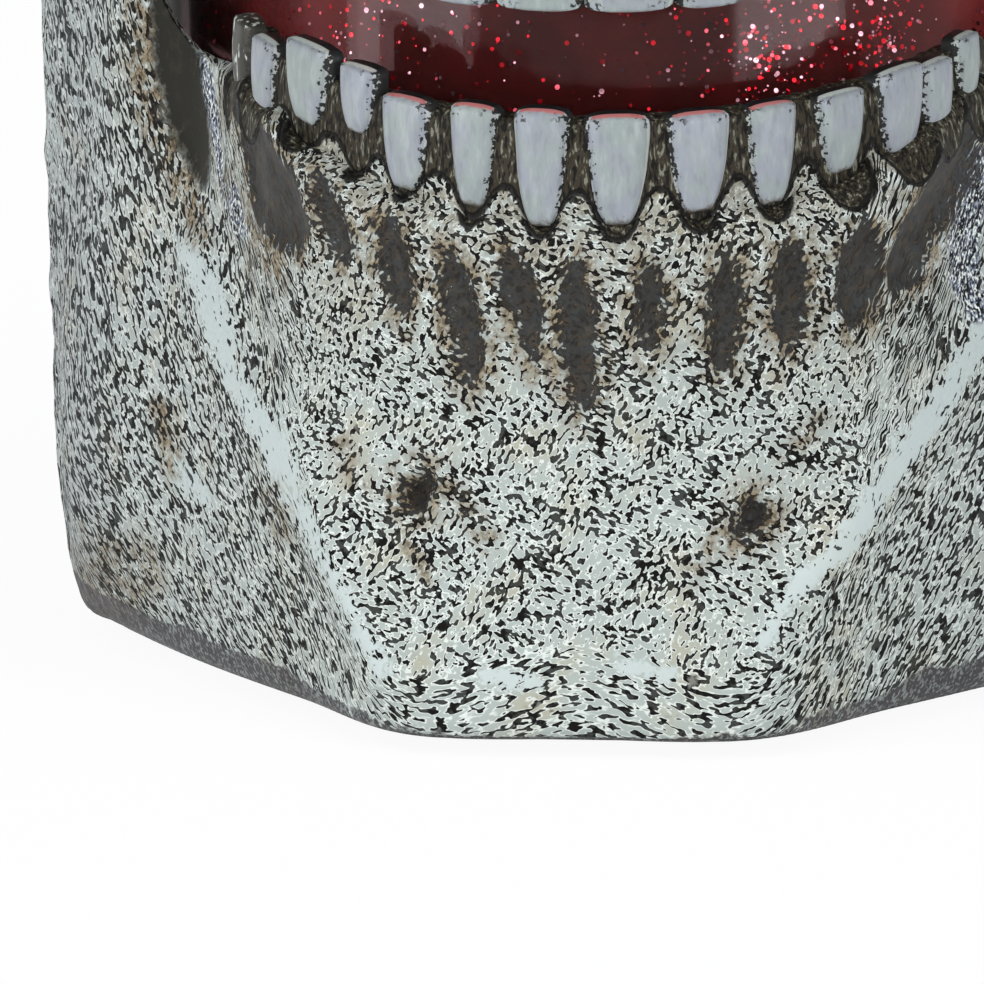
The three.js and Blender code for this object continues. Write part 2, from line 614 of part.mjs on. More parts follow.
// Stations from the chin to the top of the ramus, in shares of half the jaw's width, its depth
// and its height. Each has eight points: bottom outer, side outer, ridge, front, outer gum,
// inner gum, inner middle, bottom inner.
const jawShares = [
  [[0, 0.012, 0.015], [0, 0.002, 0.05], [0, 0, 0.09], [0, 0.03, 0.3],
    [0, 0.034, 0.54], [0, 0.13, 0.54], [0, 0.12, 0.3], [0, 0.11, 0.015]],
  [[0.274, 0.022, 0.015], [0.282, 0.016, 0.035], [0.29, 0.02, 0.06], [0.306, 0.075, 0.3],
    [0.29, 0.074, 0.545], [0.225, 0.15, 0.545], [0.21, 0.15, 0.3], [0.19, 0.12, 0.015]],
  [[0.484, 0.2, 0.015], [0.5, 0.18, 0.12], [0.476, 0.14, 0.27], [0.484, 0.16, 0.38],
    [0.48, 0.165, 0.58], [0.375, 0.23, 0.58], [0.37, 0.25, 0.3], [0.37, 0.26, 0.015]],
  [[0.694, 0.43, 0.015], [0.726, 0.4, 0.2], [0.613, 0.33, 0.45], [0.605, 0.315, 0.52],
    [0.605, 0.315, 0.64], [0.5, 0.35, 0.64], [0.54, 0.42, 0.3], [0.58, 0.47, 0.015]],
  [[0.87, 0.66, 0.015], [0.935, 0.62, 0.2], [0.71, 0.49, 0.58], [0.67, 0.46, 0.6],
    [0.655, 0.45, 0.68], [0.565, 0.46, 0.68], [0.74, 0.6, 0.3], [0.758, 0.68, 0.015]],
  [[0.944, 0.79, 0.12], [0.976, 0.74, 0.38], [0.782, 0.54, 0.72], [0.742, 0.53, 0.72],
    [0.718, 0.54, 0.71], [0.71, 0.57, 0.68], [0.823, 0.7, 0.38], [0.839, 0.77, 0.14]],
  [[0.968, 0.86, 0.58], [0.992, 0.76, 0.66], [0.855, 0.6, 0.92], [0.823, 0.59, 0.9],
    [0.806, 0.62, 0.88], [0.815, 0.66, 0.8], [0.887, 0.74, 0.64], [0.903, 0.84, 0.58]],
  [[0.984, 0.92, 1.03], [1, 0.78, 0.98], [0.92, 0.63, 1.08], [0.9, 0.625, 1.06],
    [0.88, 0.64, 1.04], [0.88, 0.7, 0.98], [0.91, 0.79, 0.96], [0.93, 0.91, 1.02]],
];
const jawFineness = { along: 30, around: 11 };

const jawPoint = (side, [x, y, z]) =>
  new THREE.Vector3(side * x * jaw.halfWidth, jaw.frontY + y * jaw.depth, z * jaw.height);

// Middles of the two knobs of the ramus, the front bosses and the front feet, in the same shares
const condyle = { place: [0.968, 0.9, 1.1], reachX: 8, reachY: 6.5, reachZ: 17 };
const coronoid = { place: [0.935, 0.67, 1.01], reachX: 4.6, reachY: 8, reachZ: 12 };
const frontBossShares = [0.242, 0.205, 0];
const jawFootShares = [0.194, 0.31, 0];
const rearBoss = { drumGap: 2.1, wallInset: 3 };

// The rear pair of bosses stands along the inner foot of the jaw, as far back as the drum lets it
function rearBossPlace() {
  const [front, middle, back] = jawShares.slice(2, 5).map((station) => jawPoint(1, station.at(-1)));
  const foot = new THREE.CurvePath();
  foot.add(new THREE.LineCurve3(front, middle));
  foot.add(new THREE.LineCurve3(middle, back));
  const clear = drum.radius + screw.bossRadius + rearBoss.drumGap;
  let [near, far] = [0, 1];
  for (let i = 0; i < halvings; i++) {
    const share = (near + far) / 2;
    const place = foot.getPoint(share);
    if (Math.hypot(place.x - rearBoss.wallInset, place.y - drum.centreY) > clear) near = share;
    else far = share;
  }
  const place = foot.getPoint(near);
  return place.setX(place.x - rearBoss.wallInset);
}

const jawBosses = [jawPoint(1, frontBossShares), rearBossPlace()];

// One smooth line along the jaw for each of a station's points, from ramus to ramus
function jawRails() {
  return jawShares[0].map((_, corner) => {
    const right = jawShares.map((station) => jawPoint(1, station[corner]));
    const left = jawShares.slice(1).reverse().map((station) => jawPoint(-1, station[corner]));
    return new THREE.CatmullRomCurve3([...left, ...right], false, 'centripetal');
  });
}

function jawBody() {
  const rails = jawRails();
  const { along, around } = jawFineness;
  const corners = [];
  for (let i = 0; i <= along; i++) {
    const station = new THREE.CatmullRomCurve3(rails.map((rail) => rail.getPoint(i / along)), true);
    for (let j = 0; j < around; j++) corners.push(...station.getPoint(j / around).toArray());
  }
  const faces = [];
  for (let i = 0; i < along; i++) {
    for (let j = 0; j < around; j++) {
      const next = (j + 1) % around;
      const [a, b] = [i * around + j, i * around + next];
      faces.push(a, b, b + around, b + around, a + around, a);
    }
  }
  for (const [end, turn] of [[0, 1], [along, -1]]) {
    for (let j = 1; j < around - 1; j++) {
      const fan = [end * around, end * around + j + 1, end * around + j];
      faces.push(...(turn > 0 ? fan : fan.reverse()));
    }
  }
  const geometry = new THREE.BufferGeometry();
  geometry.setAttribute('position', new THREE.Float32BufferAttribute(corners, 3));
  geometry.setIndex(faces);
  return solidOf(geometry);
}

const knobSolid = ({ place, reachX, reachY, reachZ }, side, grow) => {
  const { x, y, z } = jawPoint(side, place);
  return egg(x, y, z, reachX + grow, reachY + grow, reachZ + grow, rounds.small);
};

// Places on the right, each with its mirror image
const onBothSides = (places) =>
  places.flatMap(({ x, y, z }) => sides.map((side) => ({ x: side * x, y, z })));

function lowerJaw() {
  const body = [jawBody()];
  for (const side of sides) body.push(knobSolid(condyle, side, 0), knobSolid(coronoid, side, 0));
  const bossTop = seatZ + screw.length;
  for (const { x, y } of onBothSides(jawBosses)) {
    body.push(disc(screw.bossRadius, seatZ, bossTop, x, y, rounds.small));
  }
  const below = box(-skullWidth, skullWidth, -skullDepth, skullDepth, -skullHeight, floorZ);
  const underBosses = onBothSides(jawBosses).map(({ x, y }) =>
    disc(screw.bore, floorZ, seatZ + screw.length - screw.shank, x, y, rounds.small));
  return joined(body).subtract(joined([below, ...underBosses, rowSeat(lowerRow)]));
}

// Globe

// Outer outline of the globe from the neck up
const domeSteps = 5;
const domeFullness = 0.8;

function globeOutline() {
  const { neckRadius, radius, bellyRadius, neckLow, shoulder, straightTop, top } = globe;
  const corner = (radius - neckRadius) / 4;
  const domeLow = (straightTop + top) / 2 - corner;
  const line = [[neckRadius, neckLow], [neckRadius, shoulder], [radius - corner, shoulder]];
  line.push([radius - corner / 4, shoulder + corner / 2], [radius, shoulder + 2 * corner]);
  line.push([radius, straightTop], [(radius + 2 * bellyRadius) / 3, (straightTop + domeLow) / 2]);
  for (let i = 0; i <= domeSteps; i++) {
    const angle = (i / domeSteps) * (Math.PI / 2);
    const radiusHere = bellyRadius * Math.cos(angle) ** domeFullness;
    line.push([radiusHere, domeLow + (top - domeLow) * Math.sin(angle)]);
  }
  return line;
}

// A line moved to its left by a distance, its last point kept on the axis
const leastTurn = 0.5;

function insetLine(line, inset) {
  return line.map(([radius, z], i) => {
    const before = line[Math.max(i - 1, 0)];
    const after = line[Math.min(i + 1, line.length - 1)];
    const run = new THREE.Vector2(radius - before[0], z - before[1]).normalize();
    const next = new THREE.Vector2(after[0] - radius, after[1] - z).normalize();
    const first = i === 0 ? next : run;
    const last = i === line.length - 1 ? run : next;
    const middle = new THREE.Vector2(-(first.y + last.y), first.x + last.x).normalize();
    const reach = inset / Math.max(Math.abs(middle.x * -first.y + middle.y * first.x), leastTurn);
    if (i === line.length - 1) return [0, z - inset];
    if (i === 0) return [radius - inset, z];
    return [radius + middle.x * reach, z + middle.y * reach];
  });
}

function globeSolid() {
  const inside = insetLine(globeOutline(), globe.wall).reverse();
  return turned([...inside, ...globeOutline()], 0, globe.centreY, rounds.large);
}

function glitterFluid() {
  const line = insetLine(globeOutline(), globe.wall + fitGap).slice(2);
  const under = line.filter(([, z]) => z < fluid.level);
  const over = line[under.length];
  const last = under[under.length - 1];
  const share = (fluid.level - last[1]) / (over[1] - last[1]);
  const rim = [last[0] + (over[0] - last[0]) * share, fluid.level];
  const floor = line[0][1];
  return turned([[0, floor], ...under, rim, [0, fluid.level]], 0, globe.centreY, rounds.large);
}

// Space that the globe needs in the head, open downwards
function globeRoom() {
  const grown = insetLine(globeOutline(), -globe.headClearance).slice(4);
  grown.push([0, globe.top + globe.headClearance]);
  const floor = [[0, globe.shoulder], [globe.radius + globe.headClearance, globe.shoulder]];
  return turned([...floor, ...grown], 0, globe.centreY, rounds.large);
}

function globeCushion() {
  const inner = globe.neckRadius + cushion.innerMargin;
  const outer = globe.radius - cushion.outerMargin;
  const low = drum.deckTop + fitGap;
  return ring(inner, outer, low, low + cushion.thickness, 0, globe.centreY, rounds.medium);
}

const sealMiddle = stopper.flangeTop + stopper.plugHeight / 2;

function globeStopper() {
  const { plugRadius, grooveDepth, grooveHeight, low, flangeTop, top } = stopper;
  const deep = plugRadius - grooveDepth;
  const profile = [[0, low], [globe.neckRadius, low], [globe.neckRadius, flangeTop], [plugRadius, flangeTop]];
  profile.push([plugRadius, sealMiddle - grooveHeight / 2], [deep, sealMiddle - grooveHeight / 2]);
  profile.push([deep, sealMiddle + grooveHeight / 2], [plugRadius, sealMiddle + grooveHeight / 2]);
  profile.push([plugRadius, top], [0, top]);
  const socketLow = top - pin.foot - fitGap;
  const socket = disc(pin.radius + fitGap, socketLow, top + cutOverrun, 0, globe.centreY, rounds.small);
  return turned(profile, 0, globe.centreY, rounds.large).subtract(socket);
}

function stopperSeal() {
  const radius = stopper.grooveHeight / 2 - fitGap;
  const middle = stopper.plugRadius - stopper.grooveDepth + fitGap + radius;
  const geometry = new THREE.TorusGeometry(middle, radius, rounds.small / 2, rounds.large);
  geometry.translate(0, globe.centreY, sealMiddle);
  return solidOf(geometry);
}

function impellerSolid() {
  const { hubRadius, bladeReach, bladeThickness, blades, height, low } = impeller;
  const body = [disc(hubRadius, low, low + height, 0, 0, rounds.small)];
  for (let i = 0; i < blades; i++) {
    const blade = new THREE.BoxGeometry(bladeReach, bladeThickness, height - 2 * bladeThickness);
    blade.translate(bladeReach / 2, 0, low + height / 2);
    blade.rotateZ((i * 2 * Math.PI) / blades);
    body.push(solidOf(blade));
  }
  const hole = disc(pin.radius + fitGap, low - cutOverrun, low + height + cutOverrun, 0, 0, rounds.small);
  return joined(body).subtract(hole);
}

function impellerPin() {
  return disc(pin.radius, stopper.top - pin.foot, stopper.top + pin.height, 0, globe.centreY, rounds.small);
}

// Stirrer drive and lamps, all on the globe's axis

function motorSolid() {
  const { radius, length, low, bore, nose, noseHeight } = motor;
  const top = low + length;
  const profile = [[0, low], [radius, low], [radius, top], [nose, top]];
  profile.push([nose, top + noseHeight], [0, top + noseHeight]);
  const hole = disc(bore, top - magnet.shaftDepth, top + cutOverrun, 0, globe.centreY, rounds.small);
  return turned(profile, 0, globe.centreY, rounds.medium).subtract(hole);
}

function driveMagnet() {
  const shaftLow = motor.low + motor.length - magnet.shaftDepth + fitGap;
  const profile = [[0, shaftLow], [magnet.shaftRadius, shaftLow], [magnet.shaftRadius, magnet.low]];
  profile.push([magnet.radius, magnet.low], [magnet.radius, magnet.top], [0, magnet.top]);
  return turned(profile, 0, 0, rounds.medium);
}

function motorMount() {
  const inner = motor.radius + fitGap;
  const low = seatZ;
  const floorTop = motor.low - fitGap;
  const profile = [[0, low], [mount.flangeRadius, low], [mount.flangeRadius, low + mount.flangeHeight]];
  profile.push([mount.outer, low + mount.flangeHeight], [mount.outer, mount.top], [inner, mount.top]);
  profile.push([inner, floorTop], [0, floorTop]);
  return turned(profile, 0, globe.centreY, rounds.medium);
}

const ledBoard = () =>
  ring(board.inner, board.outer, board.low, board.top, 0, globe.centreY, rounds.medium);

function ledSolid() {
  const low = board.top + fitGap;
  const { radius, height, rimExtra, rimHeight } = led;
  const rim = radius + rimExtra;
  const shoulderZ = low + height - radius;
  const profile = [[0, low], [rim, low], [rim, low + rimHeight], [radius, low + rimHeight]];
  profile.push([radius, shoulderZ], [radius * Math.SQRT1_2, shoulderZ + radius * Math.SQRT1_2]);
  profile.push([0, shoulderZ + radius]);
  return turned(profile, 0, 0, rounds.small);
}

// Neck housing

// A place on the drum's floor: its reach from the drum's axis and its turn from +X towards +Y
const drumPlace = (reach, degrees) => {
  const angle = THREE.MathUtils.degToRad(degrees);
  return new THREE.Vector3(reach * Math.cos(angle), drum.centreY + reach * Math.sin(angle), 0);
};
const housingBossTurns = [-28, 33];
const rearFootTurn = 12.5;
const housingBosses = housingBossTurns.map((turn) => drumPlace(drum.bossReach, turn));

function drumProfile() {
  const { radius, flare, flareHeight, deckTop } = drum;
  return [[0, seatZ], [radius + flare, seatZ], [radius, seatZ + flareHeight], [radius, deckTop], [0, deckTop]];
}

function neckHousing() {
  const { radius, inner, centreY, deckLow, deckTop, flare } = drum;
  const reach = radius + flare + rearWall.flangeReach + cutOverrun;
  const lowerDrum = turned(drumProfile(), 0, centreY, rounds.large);
  const flange = radius + rearWall.flangeReach;
  const flangeLow = rearWall.flangeTop - rearWall.flangeHeight;
  const wallProfile = [[inner, deckLow], [radius, deckLow], [radius, flangeLow - rearWall.flangeReach]];
  wallProfile.push([flange, flangeLow], [flange, rearWall.flangeTop], [radius, rearWall.flangeTop]);
  wallProfile.push([radius, rearWall.top], [inner, rearWall.top], [inner, deckLow]);
  const front = box(-reach, reach, centreY - reach, rearWall.startY, deckTop, skullHeight);
  const wall = turned(wallProfile, 0, centreY, rounds.large).subtract(front);
  const behindPad = box(-reach, reach, pad.faceY, centreY + reach, -cutOverrun, pad.top);
  const room = disc(inner, seatZ - cutOverrun, deckLow, 0, centreY, rounds.large)
    .subtract(box(-reach, reach, pad.innerY, centreY + reach, -cutOverrun, pad.top + pad.ledge));
  const core = disc(radius, deckTop - fitGap, pad.top + pad.ledge, 0, centreY, rounds.large);
  const padWall = core.subtract(box(-reach, reach, centreY - reach, pad.innerY, 0, pad.top + cutOverrun));
  const padHollow = box(-reach, reach, pad.faceY, centreY + reach, 0, pad.top);
  const bayBox = box(-bay.halfWidth - bay.wall, bay.halfWidth + bay.wall, bay.frontY - bay.wall,
    pad.innerY + fitGap, seatZ, deckLow + fitGap);
  const bossTop = deckLow + fitGap;
  const bosses = onBothSides(housingBosses).map(({ x, y }) =>
    disc(screw.bossRadius, seatZ, bossTop, x, y, rounds.small));
  const shell = lowerDrum.subtract(room).add(wall).add(padWall).subtract(joined([behindPad, padHollow]));
  return joined([shell, bayBox, ...bosses]).subtract(housingCuts());
}

function housingCuts() {
  const { deckLow, deckTop } = drum;
  const cellTop = seatZ + cell.count * bay.pitch + fitGap;
  const cuts = [box(-bay.halfWidth, bay.halfWidth, bay.frontY, pad.innerY, seatZ - cutOverrun, cellTop)];
  const neckRoom = globe.neckRadius + fitGap;
  cuts.push(disc(neckRoom, deckLow - cutOverrun, deckTop + cutOverrun, 0, globe.centreY, rounds.large));
  const doorHalf = door.halfWidth + fitGap;
  const windowTop = door.top + fitGap;
  cuts.push(box(-doorHalf, doorHalf, pad.innerY - fitGap, pad.faceY + cutOverrun, door.axisZ, windowTop));
  const barrelRoom = door.barrelRadius + fitGap;
  cuts.push(box(-doorHalf, doorHalf, door.axisY - barrelRoom, pad.faceY + cutOverrun,
    door.axisZ - barrelRoom, door.axisZ + fitGap));
  const stemRoom = sliding.stemWidth / 2 + sliding.travel / 2 + fitGap;
  const stemHalf = sliding.stemHeight / 2 + fitGap;
  cuts.push(box(-stemRoom, stemRoom, pad.innerY - cutOverrun / 2, pad.faceY + cutOverrun,
    sliding.centreZ - stemHalf, sliding.centreZ + stemHalf));
  cuts.push(barAlongX(door.pinRadius + fitGap, -doorHalf - door.earLength, doorHalf + door.earLength,
    door.axisY, door.axisZ, rounds.small));
  for (const { x, y } of onBothSides(housingBosses)) {
    cuts.push(disc(screw.bore, seatZ - cutOverrun, seatZ + screw.length, x, y, rounds.small));
  }
  for (const [x, y] of wireHoles) {
    cuts.push(disc(wire.hole, deckLow - fitGap, deckTop + fitGap, x, y, rounds.small));
  }
  const [portX, portZ] = wirePort;
  cuts.push(barAlongY(wire.hole, bay.frontY - 2 * bay.wall, bay.frontY + bay.wall, portX, portZ, rounds.small));
  return joined(cuts);
}

// Base plate: the drum's outline and the room inside the jaw, in one sheet

function basePlate() {
  const { low, top, jawClearance } = plate;
  const inner = jawShares.slice(0, 5).map((station) => jawPoint(1, station[7]));
  const right = inner.map((point) => new THREE.Vector2(point.x - jawClearance, point.y + jawClearance));
  right[0].x = 0;
  const left = right.slice(1).map((point) => new THREE.Vector2(-point.x, point.y)).reverse();
  const outline = new THREE.Shape([...left, ...right]);
  const geometry = new THREE.ExtrudeGeometry(outline, { depth: top - low, bevelEnabled: false });
  geometry.translate(0, 0, low);
  const reach = drum.radius + drum.flare;
  const round = disc(reach, low, top, 0, drum.centreY, rounds.large)
    .subtract(box(-reach, reach, pad.faceY, drum.centreY + 2 * reach, -cutOverrun, skullHeight));
  const holes = [...onBothSides(jawBosses), ...onBothSides(housingBosses)].flatMap(({ x, y }) => [
    disc(screw.bore, low - cutOverrun, top + cutOverrun, x, y, rounds.small),
    disc(screw.headBore, low - cutOverrun, low + screw.headHeight + fitGap, x, y, rounds.small),
  ]);
  return solidOf(geometry).add(round).subtract(joined(holes));
}

function plateScrew() {
  const low = plate.low;
  const neck = low + screw.headHeight;
  return turned([[0, low], [screw.head, low], [screw.head, neck], [screw.shank, neck],
    [screw.shank, low + screw.length], [0, low + screw.length]], 0, 0, rounds.small);
}

// Head shells

// Half the head's width at a height, in the plane of the split
function halfWidthAt(z) {
  let [inside, outside] = [0, skullWidth];
  for (let i = 0; i < halvings; i++) {
    const middle = (inside + outside) / 2;
    if (head(middle, split.y, z) < 0) inside = middle;
    else outside = middle;
  }
  return inside;
}

const shellPosts = shellPostShares.map((share) => {
  const z = share * skullHeight;
  return new THREE.Vector3(halfWidthAt(z) - shellWall - postInsetShare * screw.bossRadius, 0, z);
});

// The head's outer skin: fine steps over the face, coarser ones over the crown and the back
function faceSolid() {
  const xs = marks(-halfWidth - grain.x, halfWidth + grain.x, grain.x);
  const ys = [...marks(grainEdge.front, grainEdge.faceY, grain.faceY),
    ...marks(grainEdge.faceY, split.y + 2 * grain.sideY, grain.sideY).slice(1)];
  const zs = [...marks(grainEdge.low, grainEdge.crownZ, grain.faceZ),
    ...marks(grainEdge.crownZ, skullHeight + grain.crownZ, grain.crownZ).slice(1)];
  const front = (x, y, z) => Math.max(head(x, y, z), y - split.y - grain.sideY);
  return solidOf(skinOf(front, xs, ys, zs));
}

function backSolid() {
  const xs = marks(-halfWidth - grain.back, halfWidth + grain.back, grain.back);
  const ys = marks(split.y - 2 * grain.sideY, halfDepth + grain.back, grain.back);
  const rear = (x, y, z) => Math.max(head(x, y, z), split.y - grain.sideY - y);
  return solidOf(skinOf(rear, xs, ys, marks(grainEdge.low, skullHeight + grain.back, grain.backZ)));
}

function hollowSolid() {
  const room = (reach) => marks(-reach - grain.hollow, reach + grain.hollow, grain.hollow);
  return solidOf(skinOf(hollow, room(halfWidth), room(halfDepth),
    marks(grainEdge.low, skullHeight + grain.hollow, grain.hollow)));
}

function headShells() {
  const past = 2 * halfWidth;
  const front = box(-past, past, -2 * halfDepth, split.y - fitGap / 2, -cutOverrun, 2 * skullHeight);
  const rear = box(-past, past, split.y + fitGap / 2, 2 * halfDepth, -cutOverrun, 2 * skullHeight);
  const faceBody = faceSolid().intersect(front);
  const backBody = backSolid().intersect(rear);
  const neckHole = disc(drum.radius + fitGap, 0, rearWall.top + cutOverrun, 0, drum.centreY, rounds.large);
  const flangeSeat = disc(drum.radius + rearWall.flangeReach + fitGap, 0, rearWall.flangeTop + fitGap,
    0, drum.centreY, rounds.large);
  const sockets = sides.map((side) => knobSolid(condyle, side, fitGap));
  const globeSpace = globeRoom();
  const room = joined([hollowSolid(), globeSpace, neckHole, flangeSeat, ...sockets, rowSeat(upperRow)]);
  const posts = onBothSides(shellPosts);
  const frontEnd = split.y - screw.length;
  const bossesOf = (low, high) => joined(posts.map(({ x, z }) =>
    barAlongY(screw.bossRadius, low, high, x, z, rounds.small))).subtract(globeSpace);
  const boresOf = (radius, low, high) => joined(posts.map(({ x, z }) =>
    barAlongY(radius, low, high, x, z, rounds.small)));
  const seatY = split.y + split.seatDepth;
  const face = faceBody.subtract(room).add(bossesOf(frontEnd, split.y).intersect(faceBody))
    .subtract(boresOf(screw.bore, frontEnd + screw.shank, split.y + cutOverrun));
  const back = backBody.subtract(room).add(bossesOf(split.y, 2 * halfDepth).intersect(backBody))
    .subtract(boresOf(screw.bore, 0, seatY + cutOverrun))
    .subtract(boresOf(screw.headBore, seatY, 2 * halfDepth));
  return { face, back, seatY };
}

function shellScrew(seatY) {
  const headY = seatY + fitGap;
  const shank = barAlongY(screw.shank, headY - screw.length, headY + fitGap, 0, 0, rounds.small);
  return shank.add(barAlongY(screw.head, headY, headY + screw.headHeight, 0, 0, rounds.small));
}

// Battery door, cells and contacts

function batteryDoor() {
  const { thickness, barrelRadius, halfWidth: half, axisY, axisZ, top, gripHeight, gripDepth } = door;
  const outY = pad.faceY - fitGap / 2;
  const leaf = box(-half, half, outY - thickness, outY, axisZ, top);
  const barrel = barAlongX(barrelRadius, -half, half, axisY, axisZ, rounds.small);
  const grip = box(-half / 3, half / 3, outY - gripDepth, outY + cutOverrun,
    top - gripHeight, top + cutOverrun);
  const past = half + cutOverrun;
  const hole = barAlongX(door.pinRadius + fitGap, -past, past, axisY, axisZ, rounds.small);
  return leaf.add(barrel).subtract(grip.add(hole));
}

const hingePin = () => {
  const reach = door.halfWidth + door.earLength;
  return barAlongX(door.pinRadius, -reach, reach, door.axisY, door.axisZ, rounds.small);
};

const cellY = pad.innerY - fitGap - bay.roomY / 2;
const cellZ = (index) => seatZ + fitGap / 2 + cell.radius + index * bay.pitch;

// A cell with its nub towards +X or -X; its other end meets a spring
function batteryCell(index) {
  const way = index % 2 === 0 ? 1 : -1;
  const body = barAlongX(cell.radius, -cell.length / 2, cell.length / 2 - cell.nubLength, 0, 0, rounds.medium);
  const nub = barAlongX(cell.nubRadius, 0, cell.length / 2, 0, 0, rounds.small);
  const whole = geometryOf(body.add(nub));
  whole.rotateZ(way > 0 ? 0 : Math.PI);
  whole.translate((way * contact.springLength) / 2, cellY, cellZ(index));
  return solidOf(whole);
}

// A contact plate on one end wall of the bay, with a spring facing each cell's flat end
function contactPlate(side) {
  const outX = bay.halfWidth - fitGap;
  const innerX = outX - contact.thickness;
  const high = cellZ(cell.count - 1) + cell.radius / 2;
  const [from, to] = side > 0 ? [innerX, outX] : [-outX, -innerX];
  const low = cellZ(0) - cell.radius / 2;
  const body = [box(from, to, cellY - contact.halfWidth, cellY + contact.halfWidth, low, high)];
  for (let i = 0; i < cell.count; i++) {
    const spring = (i % 2 === 0 ? -1 : 1) === side;
    if (!spring) continue;
    const root = innerX + contact.thickness / 2;
    const tip = innerX - contact.springLength;
    const cone = new THREE.CylinderGeometry(contact.springTip, contact.springRadius, root - tip, rounds.small);
    cone.rotateZ((side * Math.PI) / 2);
    cone.translate((side * (root + tip)) / 2, cellY, cellZ(i));
    body.push(solidOf(cone));
  }
  return joined(body);
}

// Switch

function switchBody() {
  const { bodyDepth, centreZ } = sliding;
  const [wide, tall] = [sliding.bodyWidth / 2, sliding.bodyHeight / 2];
  const outY = pad.innerY - fitGap;
  return box(-wide, wide, outY - bodyDepth, outY, centreZ - tall, centreZ + tall);
}

function switchKnob() {
  const { stemWidth, stemHeight, capWidth, capHeight, capDepth } = sliding;
  const { grooveDepth, grooveWidth, grooves } = sliding;
  const capY = pad.faceY + fitGap;
  const stem = box(-stemWidth / 2, stemWidth / 2, pad.innerY, capY + capDepth / 2,
    -stemHeight / 2, stemHeight / 2);
  const cap = box(-capWidth / 2, capWidth / 2, capY, capY + capDepth, -capHeight / 2, capHeight / 2);
  const reach = (grooves - 1) * grooveWidth;
  const cuts = marks(-reach, reach, 2 * grooveWidth).map((x) =>
    box(x - grooveWidth / 2, x + grooveWidth / 2, capY + capDepth - grooveDepth, capY + 2 * capDepth,
      -capHeight, capHeight));
  return stem.add(cap).subtract(joined(cuts));
}

// Wires: from one contact to the switch, from the switch to the lamp board, and from the other
// contact to the board. They pass two holes in the deck and a port in the bay's front wall.
const wireRoutes = {
  wire_switch_feed: [[27, 43.6, 46.8], [27, 44.3, 47.6], [25.6, 44.9, 48.1], [23.9, 45, 49.4],
    [23.4, 45, 51.5], [21, 45, 56], [16, 44.6, 60], [10.6, 44.2, 61.5]],
  wire_board_feed: [[-10.6, 44.2, 61.5], [-17, 44.4, 60.5], [-27, 41.5, 57.5], [-32, 39, 54], [-33, 38, 50.5],
    [-33, 37, 47], [-32, 30, 44], [-25, 17, 41], [-20, 10, 38.4]],
  wire_board_return: [[-26.2, 33.6, 46.4], [-25, 32.2, 47.4], [-23.6, 29.6, 47.4], [-20, 25.5, 45],
    [-17.5, 19, 41], [-15, 12.5, 38.4]],
};
const wireHoles = [[24, 45], [-33, 38]];
const wirePort = [-23.8, 47.4];

function wireSolid(points) {
  const path = new THREE.CatmullRomCurve3(points.map(([x, y, z]) => new THREE.Vector3(x, y, z)));
  const round = new THREE.Path().absarc(0, 0, wire.radius, 0, 2 * Math.PI);
  const section = new THREE.Shape(round.getSpacedPoints(wire.sides).slice(0, -1));
  const drawn = { steps: wire.steps, extrudePath: path, bevelEnabled: false };
  return solidOf(new THREE.ExtrudeGeometry(section, drawn));
}

// Materials, colours as they look on the object

const material = (color, roughness, metalness = 0, opacity = 1) =>
  new THREE.MeshStandardMaterial({ color, roughness, metalness, opacity, transparent: opacity < 1 });
const finish = {
  bone: material(0xc9cfc6, 0.5),
  tooth: material(0xb4bfbd, 0.25),
  housing: material(0x2b2725, 0.55),
  plate: material(0x332c36, 0.7),
  glass: material(0x6a0a10, 0.05, 0, 0.35),
  fluid: material(0x7a0a12, 0.1, 0, 0.6),
  rubber: material(0x1c1b1c, 0.9),
  plastic: material(0xd8d6cf, 0.45),
  steel: material(0xa9abad, 0.35, 1),
  board: material(0x1e4d34, 0.5),
  lamp: material(0xf2f0e4, 0.1),
  magnet: material(0x4b4c50, 0.5, 0.6),
  cell: material(0x3a3d42, 0.4, 0.3),
  wire: material(0x8e1a1a, 0.5),
};

const skull = new THREE.Group();

function addPiece(name, solid, look, x = 0, y = 0, z = 0) {
  const mesh = new THREE.Mesh(geometryOf(solid), look);
  mesh.name = name;
  mesh.position.set(x, y, z);
  skull.add(mesh);
}

const { face, back, seatY } = headShells();
addPiece('face_shell', face, finish.bone);
addPiece('back_shell', back, finish.bone);
addPiece('lower_jaw', lowerJaw(), finish.bone);
addPiece('lower_teeth', toothRow(lowerRow, lowerToothShares), finish.tooth);
const upperTeeth = upperToothShares.flatMap(([share, width]) => sides.map((side) => [side * share, width]));
addPiece('upper_teeth', toothRow(upperRow, upperTeeth), finish.tooth);
addPiece('neck_housing', neckHousing(), finish.housing);
addPiece('base_plate', basePlate(), finish.plate);
addPiece('globe', globeSolid(), finish.glass);
addPiece('glitter_fluid', glitterFluid(), finish.fluid);
addPiece('globe_cushion', globeCushion(), finish.rubber);
addPiece('globe_stopper', globeStopper(), finish.plastic);
addPiece('stopper_seal', stopperSeal(), finish.rubber);
addPiece('impeller_pin', impellerPin(), finish.steel);
addPiece('impeller', impellerSolid(), finish.plastic, 0, globe.centreY, 0);
addPiece('drive_magnet', driveMagnet(), finish.magnet, 0, globe.centreY, 0);
addPiece('motor', motorSolid(), finish.steel);
addPiece('motor_mount', motorMount(), finish.plastic);
addPiece('led_board', ledBoard(), finish.board);
for (let i = 0; i < led.count; i++) {
  const angle = ((i + 0.5) * 2 * Math.PI) / led.count;
  addPiece(`led_${i + 1}`, ledSolid(), finish.lamp,
    led.circle * Math.cos(angle), globe.centreY + led.circle * Math.sin(angle), 0);
}
addPiece('battery_door', batteryDoor(), finish.housing);
addPiece('door_hinge_pin', hingePin(), finish.steel);
